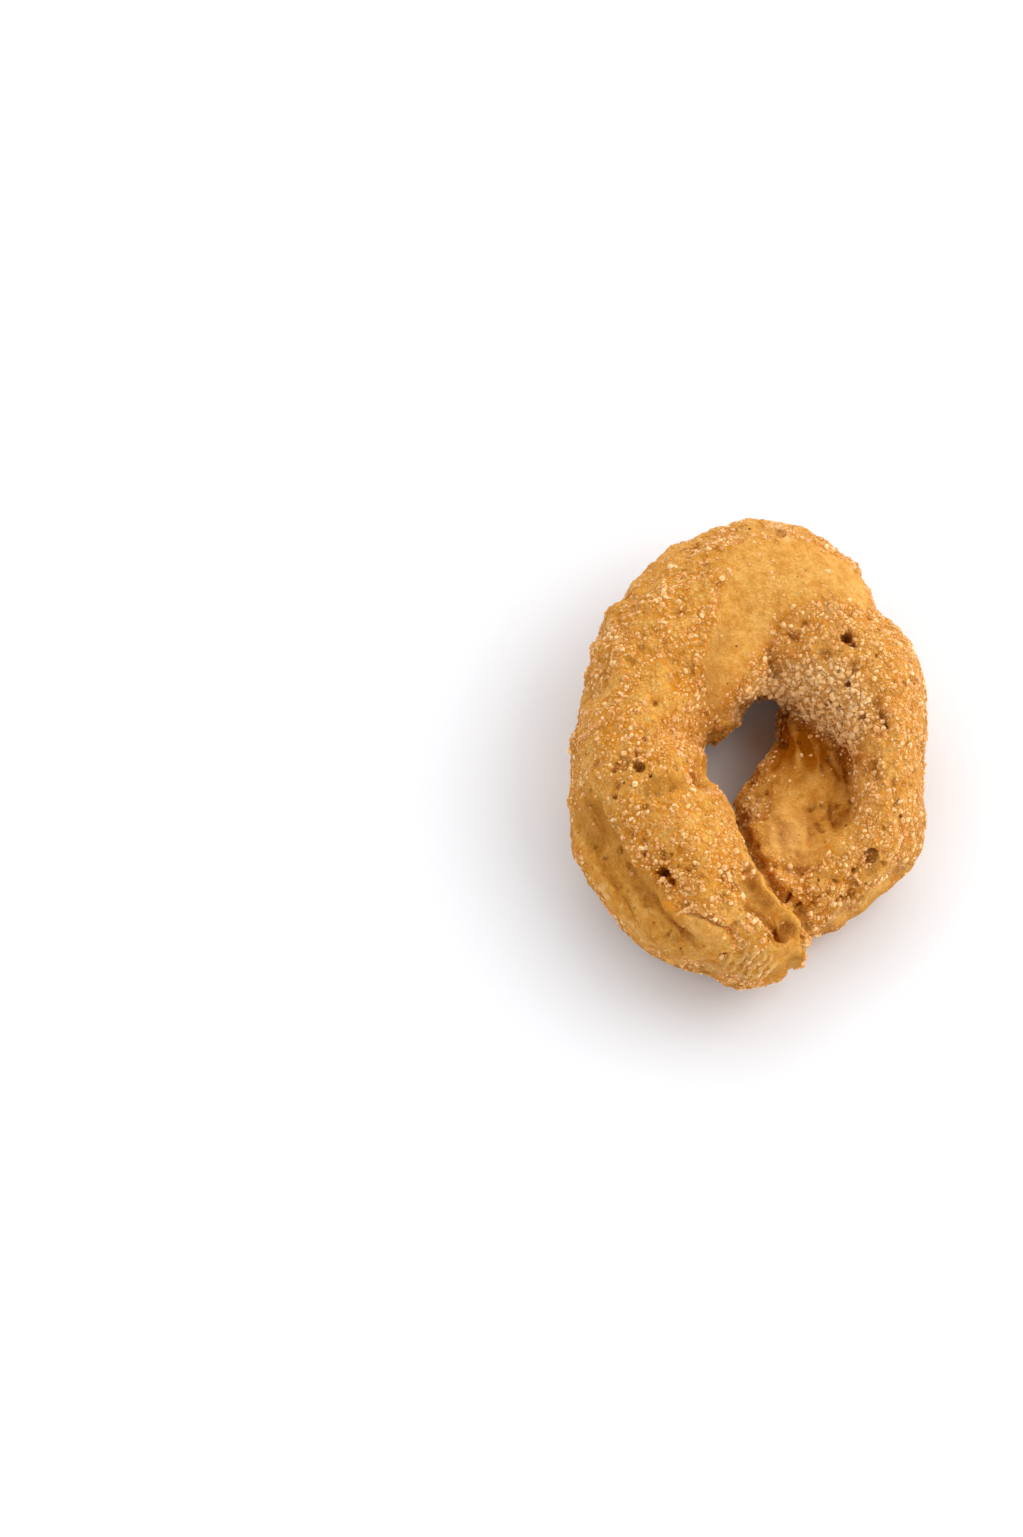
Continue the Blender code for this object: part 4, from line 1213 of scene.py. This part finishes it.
# %% Marks in the crust
def crust_marks(tree, where):
    """Shares from 0 to 1: streaks along bare dough, grains' domes and rims, leathery skin, pinholes."""
    sugar, bare = reading(tree, "sugar"), reading(tree, "bare")
    along = noise(tree, reading(tree, "lengthwise", "Vector"), 700.0, 3.0, 0.6)
    marks = {"streak": product(tree, between(tree, along, 0.42, 0.66), bare)}
    crusted = maths(tree, "SUBTRACT", 1.0, bare)
    amount = product(tree, crusted, maths(tree, "ADD", product(tree, sugar, 0.55), 0.40))
    uneven = shaken(tree, where, 0.5, 0.8)
    coarse_rim, marks["coarse"] = grain_print(tree, uneven, 0.85, amount)
    fine_rim, marks["fine"] = grain_print(tree, uneven, 0.50, amount)
    marks["dome"] = maths(tree, "MAXIMUM", marks["coarse"], product(tree, marks["fine"], 0.6))
    marks["rim"] = maths(tree, "MAXIMUM", coarse_rim, product(tree, fine_rim, 0.8))
    marks["leather"] = noise(tree, where, 0.42, 3.0, 0.7)
    ragged = shaken(tree, where, 0.35, 0.30)
    large, small = pinholes(tree, ragged, 2.4, 0.45, 0.085), pinholes(tree, ragged, 1.1, 0.25, 0.10)
    marks["pore"] = maths(tree, "MAXIMUM", large, product(tree, small, 0.75))
    return marks


print("marks: streaks, prints of grains, leather, pinholes")

# %% Colour of the crust
def crust_colour(tree, where, marks):
    """Golden and honey dough, then one colour after another laid over it, each by its share."""
    sugar, bare = reading(tree, "sugar"), reading(tree, "bare")
    browning = between(tree, noise(tree, where, 6.0, 4.0, 0.6), 0.38, 0.64)
    mottle = noise(tree, where, 1.8, 4.0, 0.65)
    film = maths(tree, "ADD", product(tree, bare, 0.2), 0.15)
    layers = [
        (marks["streak"], 0.25, MELTED),
        (between(tree, sugar, 0.1, 0.7), 1.0, SUGARED),
        (marks["dome"], 0.35, MELTED),
        # painted highlight on the grains' rims
        (marks["rim"], 0.80, PRINT_RIM_HIGHLIGHT),
        (between(tree, mottle, 0.47, 0.64), 0.75, DEEP_ORANGE),
        (between(tree, mottle, 0.46, 0.30), film, CREAM),
        (between(tree, marks["leather"], 0.54, 0.40), 0.50, DEEP_ORANGE),
        # brown: painted shade in valleys, on the shaded ledge and on flanks, and browner patches
        (reading(tree, "brown_and_painted_shade"), 0.8, SHADED_BROWN),
        # painted shade in hollows
        (reading(tree, "hollow"), 1.0, HOLLOW_SHADE_AMBER),
        # cream: melted films, and painted light on crests and on the lap's steep shore
        (reading(tree, "cream"), 0.8, CREAM),
        (marks["pore"], 0.85, PORE_BROWN),
        (reading(tree, "tray"), 0.75, TRAY_BROWN),
    ]
    colour = blend_colours(tree, browning, GOLDEN, HONEY)
    for share, strength, layer in layers:
        colour = blend_colours(tree, product(tree, share, strength), colour, layer)
    return colour


print("the crust's deepest colour:", PORE_BROWN[:3])

# %% Dough finish
LIGHT_UNDER_THE_SKIN = 0.12
LIGHT_REACH = (1.0, 0.45, 0.15)
LIGHT_REACH_UNIT = 0.0012
ROUGHNESS_ENDS = (0.55, 0.62)
GLOSS_ENDS = (0.09, 0.0)
# how far the bump reaches, in metres, and its strength; then the height of each mark in it
CRUST_BUMP = (0.001, 0.78)
PLAIN_RISE = 0.70
MARK_RISES = (("leather", 0.30), ("coarse", 0.45), ("fine", 0.22), ("streak", 0.15), ("pore", -0.18))


def baked_dough():
    """The colour, a dull gloss that goes in hollows, light under the skin, and the marks as bump."""
    material, tree, surface = new_material("baked dough")
    where = add(tree, "TexCoord").outputs["Object"]
    marks = crust_marks(tree, where)
    tree.links.new(crust_colour(tree, where, marks), surface.inputs["Base Color"])
    roughness = between(tree, reading(tree, "bare"), 0.0, 1.0, *ROUGHNESS_ENDS)
    tree.links.new(roughness, surface.inputs["Roughness"])
    # the gloss fades where the painted shade in hollows lies
    gloss = between(tree, reading(tree, "hollow"), 0.0, 1.0, *GLOSS_ENDS)
    tree.links.new(gloss, surface.inputs["Specular IOR Level"])
    surface.inputs["Subsurface Weight"].default_value = LIGHT_UNDER_THE_SKIN
    surface.inputs["Subsurface Radius"].default_value = LIGHT_REACH
    surface.inputs["Subsurface Scale"].default_value = LIGHT_REACH_UNIT

    height = product(tree, noise(tree, where, 1.0, 4.0, 0.6), PLAIN_RISE)
    for mark, rise in MARK_RISES:
        height = maths(tree, "ADD", height, product(tree, marks[mark], rise))
    bump_from(tree, surface, height, *CRUST_BUMP)
    return material


fused.materials.clear()
fused.materials.append(baked_dough())
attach(dough, "root")
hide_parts("tarallo")
print("nodes in the finish:", len(fused.materials[0].node_tree.nodes))

# %% [markdown]
# ## Shapes of sugar
# Coarse sugar is a heap of small worn blocks. One formula gives them all: points on a square
# outline at a few heights, with one point above and one below, each drawn in until the nth root
# of the sum of the nth powers of its sides is 1. A high n gives a block and 2 gives a ball.
# Crystals have eight sides, the finer grains six, and the grit is an octahedron.

# %% One worn block
def worn_block(sides, heights, power):
    """Points (height, side) of a block of radius 1, then its two poles, and its faces as triangles."""
    turn = np.arange(sides) * 2 * math.pi / sides
    outline = np.stack([np.cos(turn), np.sin(turn)], axis=1)
    outline /= np.abs(outline).max(axis=1)[:, None]
    rings = [np.column_stack([outline, np.full(sides, height)]) for height in heights]
    block = np.concatenate([*rings, [(0.0, 0.0, -1.0), (0.0, 0.0, 1.0)]])
    block /= (np.abs(block) ** power).sum(axis=1)[:, None] ** (1.0 / power)
    i, j = np.meshgrid(np.arange(len(heights) - 1), np.arange(sides), indexing="ij")
    a, b = (i * sides + j).ravel(), (i * sides + (j + 1) % sides).ravel()
    low, high = len(block) - 2, len(block) - 1
    j = np.arange(sides)
    k = (j + 1) % sides
    last = (len(heights) - 1) * sides
    walls = [np.stack([a, b, b + sides], axis=1), np.stack([a, b + sides, a + sides], axis=1)]
    caps = [np.stack([k, j, np.full(sides, low)], axis=1)]
    caps += [np.stack([last + j, last + k, np.full(sides, high)], axis=1)]
    return block, np.concatenate(walls + caps)


def edge_share(block):
    """0 at the middle of a block's side and 1 on its edges: the second longest part over the longest."""
    parts = np.sort(np.abs(block), axis=1)
    return parts[:, 1] / parts[:, 2]


CRYSTAL = worn_block(8, (-0.8, 0.0, 0.8), 2.4)
GRAIN = worn_block(6, (-0.6, 0.6), 2.3)
GRIT = worn_block(4, (0.0,), 2.0)
for title, (block, sides) in (("crystal", CRYSTAL), ("grain", GRAIN), ("grit", GRIT)):
    print(title, len(block), "points,", len(sides), "triangles")

# %% [markdown]
# ## Strewing the sugar
# Spots are drawn at random on the dough's triangles, more often where the sugar share is high,
# and are thinned so that no small cube of space holds two. Each spot keeps the dough's normal,
# so a block sits flat or a little tilted, sunk by part of its height into the crust.

# %% Spots on the crust
fused.calc_loop_triangles()
triangles = np.empty(len(fused.loop_triangles) * 3, np.int32)
fused.loop_triangles.foreach_get("vertices", triangles)
triangles = triangles.reshape(-1, 3)
areas = np.empty(len(triangles), np.float32)
fused.loop_triangles.foreach_get("area", areas)
settled_normals = read_points(fused, "normal")
print("crust to strew on:", round(float(areas.sum()) * 1e6), "square mm")

# %% Strewing by share
KEEP_ABOVE_TRAY = 0.9


def thin_out(spots, gap):
    """The first spot in each cube of side gap, then again with the cubes shifted by half a side."""
    kept = np.arange(len(spots))
    for shift in (0.0, 0.5):
        _, first = np.unique(np.floor(spots[kept] / gap + shift), axis=0, return_index=True)
        kept = kept[np.sort(first)]
    return kept


def strew(draw, share, tries, gap):
    """Spots, their triangles' corners and the corner shares, for tries drawn spots, thinned by gap."""
    chance = areas * share[triangles].mean(axis=1)
    chance *= points[triangles][:, :, 2].mean(axis=1) > KEEP_ABOVE_TRAY
    chosen = draw.choice(len(triangles), size=tries, p=chance / chance.sum())
    cuts = np.sort(draw.random((tries, 2)), axis=1)
    corner = np.column_stack([cuts[:, 0], cuts[:, 1] - cuts[:, 0], 1.0 - cuts[:, 1]])
    spots = (points[triangles[chosen]] * corner[:, :, None]).sum(axis=1)
    kept = thin_out(spots, gap)
    return spots[kept], triangles[chosen[kept]], corner[kept]


def at_spots(values, corners, weights):
    """A value of the dough's points, mixed at each spot from its triangle's three corners."""
    mixed = values[corners] * (weights if values.ndim == 1 else weights[:, :, None])
    return mixed.sum(axis=1)


print("of five spots on a line, thinned:", len(thin_out(np.arange(15.0).reshape(5, 3) / 9, 1.0)))


# %% Turned, sized and sunk
def turned_frames(draw, up, tilt):
    """Three axes for each block: its own up, tilted at random from the crust's, and two across it."""
    up = up + tilt * draw.normal(size=up.shape)
    up /= np.linalg.norm(up, axis=1)[:, None]
    across = np.cross(up, draw.normal(size=up.shape))
    across /= np.linalg.norm(across, axis=1)[:, None]
    return np.stack([across, np.cross(up, across), up], axis=1)


def spread_blocks(name, block, sides, middles, frames, radii):
    """One mesh of many blocks: middle + (block * radii) turned into each frame, for all at once."""
    corners = (block[None] * radii[:, None, :]) @ frames + middles[:, None, :]
    count, each = len(middles), len(block)
    faces = (sides[None] + (np.arange(count) * each)[:, None, None]).reshape(-1, 3)
    mesh = bpy.data.meshes.new(name)
    mesh.from_pydata((corners.reshape(-1, 3) * MM).tolist(), [], faces.tolist())
    mesh.update()
    mesh.shade_smooth()
    keep(mesh, "rim", np.tile(edge_share(block), count))
    thing = bpy.data.objects.new(name, mesh)
    bpy.context.scene.collection.objects.link(thing)
    return thing


print("a turned frame:", turned_frames(np.random.default_rng(1), np.eye(3)[2:], 0.0).round(2).tolist())

# %% [markdown]
# ## Single crystals
# About eighty crystals stand out on the bare crust and along the lap. They are listed one by one:
# u, v and half length in mm. Each goes to the point of the dough that lies nearest on the plane.

# %% Places of the single crystals
SINGLES = np.array([
    (2.5, 34.7, 0.55), (0.3, 34.3, 0.38), (0.8, 33.9, 0.30), (1.8, 33.7, 0.36), (-5.5, 33.0, 0.36),
    (-4.3, 31.8, 0.42), (-5.6, 31.1, 0.36), (-6.6, 30.7, 0.50), (-4.0, 34.4, 0.36), (-2.0, 35.8, 0.30),
    (3.5, 31.5, 0.28), (3.4, 29.8, 0.36), (3.1, 27.6, 0.26), (4.1, 27.0, 0.38), (7.4, 30.4, 0.28),
    (9.7, 26.5, 0.28), (13.4, 26.6, 0.22), (14.6, 25.3, 0.26), (9.1, 25.6, 0.28), (3.9, 23.4, 0.46),
    (6.6, 23.0, 0.28), (-4.6, 24.1, 0.22), (-1.8, 15.6, 0.26), (0.7, 18.4, 0.36), (1.3, 17.3, 0.50),
    (2.5, 17.5, 0.48), (4.0, 20.2, 0.46), (4.4, 21.0, 0.42), (3.7, 19.0, 0.40), (6.0, 22.4, 0.34),
    (0.2, -1.8, 0.50), (-0.1, -3.6, 0.44), (3.4, -2.4, 0.30), (3.8, 1.3, 0.30), (3.0, 0.7, 0.26),
    (2.7, 2.0, 0.28), (1.3, -0.1, 0.26), (3.6, -6.2, 0.26), (6.7, 2.5, 0.22), (8.1, -12.3, 0.48),
    (7.4, -14.8, 0.50), (4.3, -15.3, 0.36), (10.2, -12.0, 0.30), (12.3, 5.7, 0.30), (12.2, -4.0, 0.36),
    (-19.3, -13.0, 0.26), (-16.0, -12.3, 0.34), (-17.2, -19.3, 0.36), (-16.5, -19.2, 0.24),
    (-18.3, -19.9, 0.28), (-9.9, -23.9, 0.28), (-10.6, -17.7, 0.28), (-14.8, -21.5, 0.26),
    (-6.2, -18.3, 0.52), (-5.0, -18.8, 0.36), (-3.2, -18.8, 0.42), (-4.4, -18.3, 0.30),
    (-0.7, -19.5, 0.38), (1.0, -19.0, 0.48), (0.3, -20.3, 0.55), (3.4, -20.4, 0.36),
    (-5.9, -16.8, 0.40), (-4.8, -16.0, 0.55), (-6.3, -14.8, 0.48), (-7.4, -15.3, 0.38),
    (3.4, -16.5, 0.40), (2.1, -23.1, 0.44), (4.3, -15.1, 0.38), (6.2, -16.4, 0.36), (7.3, -15.0, 0.48),
    (8.7, -18.1, 0.55), (16.1, -10.9, 0.44), (20.7, -10.2, 0.42), (22.3, -10.5, 0.46),
    (21.6, -11.2, 0.50), (23.2, -9.1, 0.48), (13.4, -14.6, 0.46), (17.9, -13.4, 0.46),
    (15.0, -17.2, 0.50), (15.7, -16.4, 0.44), (-23.7, 13.6, 0.40), (-24.1, 0.6, 0.44),
    (-24.3, -1.2, 0.38),
])


def nearest_points(spots):
    """For each place on the plane, the dough's point nearest to it that faces the eye."""
    seen = as_seen(points + RING_MIDDLE)
    squares = (seen**2).sum(axis=1) - 2.0 * spots @ seen.T
    squares += np.where(shares["front"] > 0.3, 0.0, 1e6)
    return squares.argmin(axis=1)


single_points = nearest_points(SINGLES[:, :2])
print(len(SINGLES), "single crystals")

# %% [markdown]
# ## The colour of each block
# Sugar is clear, so each crystal looks like the dough under it. Where it is heaped, the blocks
# lie on each other and look greyish cream. Elsewhere they are peach, some almost white.

# %% Tints
PEACH = np.array([0.73, 0.30, 0.026])
PALE = np.array([0.98, 0.72, 0.38])
HEAPED_CREAM = np.array([0.94, 0.65, 0.34])
RARELY_PALE = 2.4
HEAPED_SHARE = 0.85


def block_tints(draw, heaped):
    """From peach to pale by a random share, most of them low, and towards cream where heaped."""
    pale = draw.random(len(heaped))[:, None] ** RARELY_PALE
    tint = PEACH + pale * (PALE - PEACH)
    cream = HEAPED_CREAM * draw.uniform(0.7, 1.15, (len(heaped), 1))
    return np.clip(tint + HEAPED_SHARE * heaped[:, None] * (cream - tint), 0.0, 1.0)


def colour_blocks(mesh, tints, each):
    """Gives all the corners of a block its tint."""
    rows = np.column_stack([np.repeat(tints, each, axis=0), np.ones(len(tints) * each)])
    layer = mesh.attributes.new("tint", "FLOAT_COLOR", "POINT")
    layer.data.foreach_set("color", rows.astype(np.float32).ravel())


tried = block_tints(np.random.default_rng(1), np.array([0.0, 0.0, 1.0]))
print("tints of three blocks:", tried.round(2).tolist())

# %% Three sizes of sugar
# name, block, seed, tries, gap, radius from and to, sunk from and to, tilt, power of the share
SUGAR_KINDS = [
    ("sugar_crystals", CRYSTAL, 5, 5200, 0.62, (0.26, 0.52), (0.2, 0.9), 0.4, 1.2),
    ("sugar_grains", GRAIN, 6, 11200, 0.45, (0.17, 0.31), (0.1, 0.8), 0.5, 1.0),
    ("sugar_grit", GRIT, 7, 22000, 0.30, (0.09, 0.16), (0.0, 0.5), 0.8, 0.8),
]
FLATTEST = 0.5
HEAPED_SWELL = 0.15


def strew_sugar(name, shape, seed, tries, gap, radius, sunk, tilt, power):
    """Blocks at spots drawn by the sugar share to a power, each sunk by a random share of its height."""
    draw = np.random.default_rng(seed)
    block, sides = shape
    spots, corners, weights = strew(draw, sugar**power, tries, gap)
    up = at_spots(settled_normals, corners, weights)
    pile = at_spots(heaped, corners, weights)
    size = draw.uniform(*radius, len(spots)) * (1.0 + HEAPED_SWELL * pile)
    if shape is CRYSTAL:
        spots = np.concatenate([spots, points[single_points]])
        up = np.concatenate([up, settled_normals[single_points]])
        pile = np.concatenate([pile, np.zeros(len(SINGLES))])
        size = np.concatenate([size, SINGLES[:, 2]])
    flattened = draw.uniform(FLATTEST, 1.0, (len(spots), 2))
    radii = size[:, None] * np.column_stack([np.ones(len(spots)), flattened])
    lift = (pile * draw.uniform(0.0, 1.0, len(spots)) - draw.uniform(*sunk, len(spots))) * radii[:, 2]
    middles = spots + up * lift[:, None]
    middles[:, 2] = np.maximum(middles[:, 2], size)
    thing = spread_blocks(name, block, sides, middles, turned_frames(draw, up, tilt), radii)
    colour_blocks(thing.data, block_tints(draw, pile), len(block))
    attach(thing, "root")
    print(name, len(spots), "pieces,", len(thing.data.polygons), "triangles")
    return thing


sugar_pieces = [strew_sugar(*kind) for kind in SUGAR_KINDS]

# %% [markdown]
# ## Sugar
# A real crystal lets the dough show through its middle, and its worn edges catch the lamp. Here
# the blocks are opaque and colour does the same: deeper at the middle, and pale at the rim.

# %% Sugar finish
DEEPENED = (0.92, 0.76, 0.45, 1.0)
# painted highlight on the blocks' worn edges
BLOCK_RIM_HIGHLIGHT = (0.98, 0.80, 0.54, 1.0)
BLOCK_RIM_HIGHLIGHT_SHARE = 0.40
SUGAR_ROUGHNESS = 0.38
SUGAR_GLOSS = 0.28
SUGAR_BUMP_SIZE = 0.25
SUGAR_BUMP = (0.0001, 0.6)


def cloudy_sugar():
    """Each block's own tint, deeper at its middle and lighter at its rim as painted highlight, with a fine
    bump.
    """
    material, tree, surface = new_material("half-melted sugar")
    tint = reading(tree, "tint", "Color")
    deep = blend_colours(tree, 1.0, tint, DEEPENED, "MULTIPLY")
    light = blend_colours(tree, BLOCK_RIM_HIGHLIGHT_SHARE, tint, BLOCK_RIM_HIGHLIGHT)
    rim = between(tree, reading(tree, "rim"), 0.3, 1.0)
    tree.links.new(blend_colours(tree, rim, deep, light), surface.inputs["Base Color"])
    surface.inputs["Roughness"].default_value = SUGAR_ROUGHNESS
    surface.inputs["Specular IOR Level"].default_value = SUGAR_GLOSS
    height = noise(tree, add(tree, "TexCoord").outputs["Object"], SUGAR_BUMP_SIZE)
    bump_from(tree, surface, height, *SUGAR_BUMP)
    return material


sugar_finish = cloudy_sugar()
for piece in sugar_pieces:
    piece.data.materials.append(sugar_finish)
print("finished:", ", ".join(piece.name for piece in sugar_pieces))
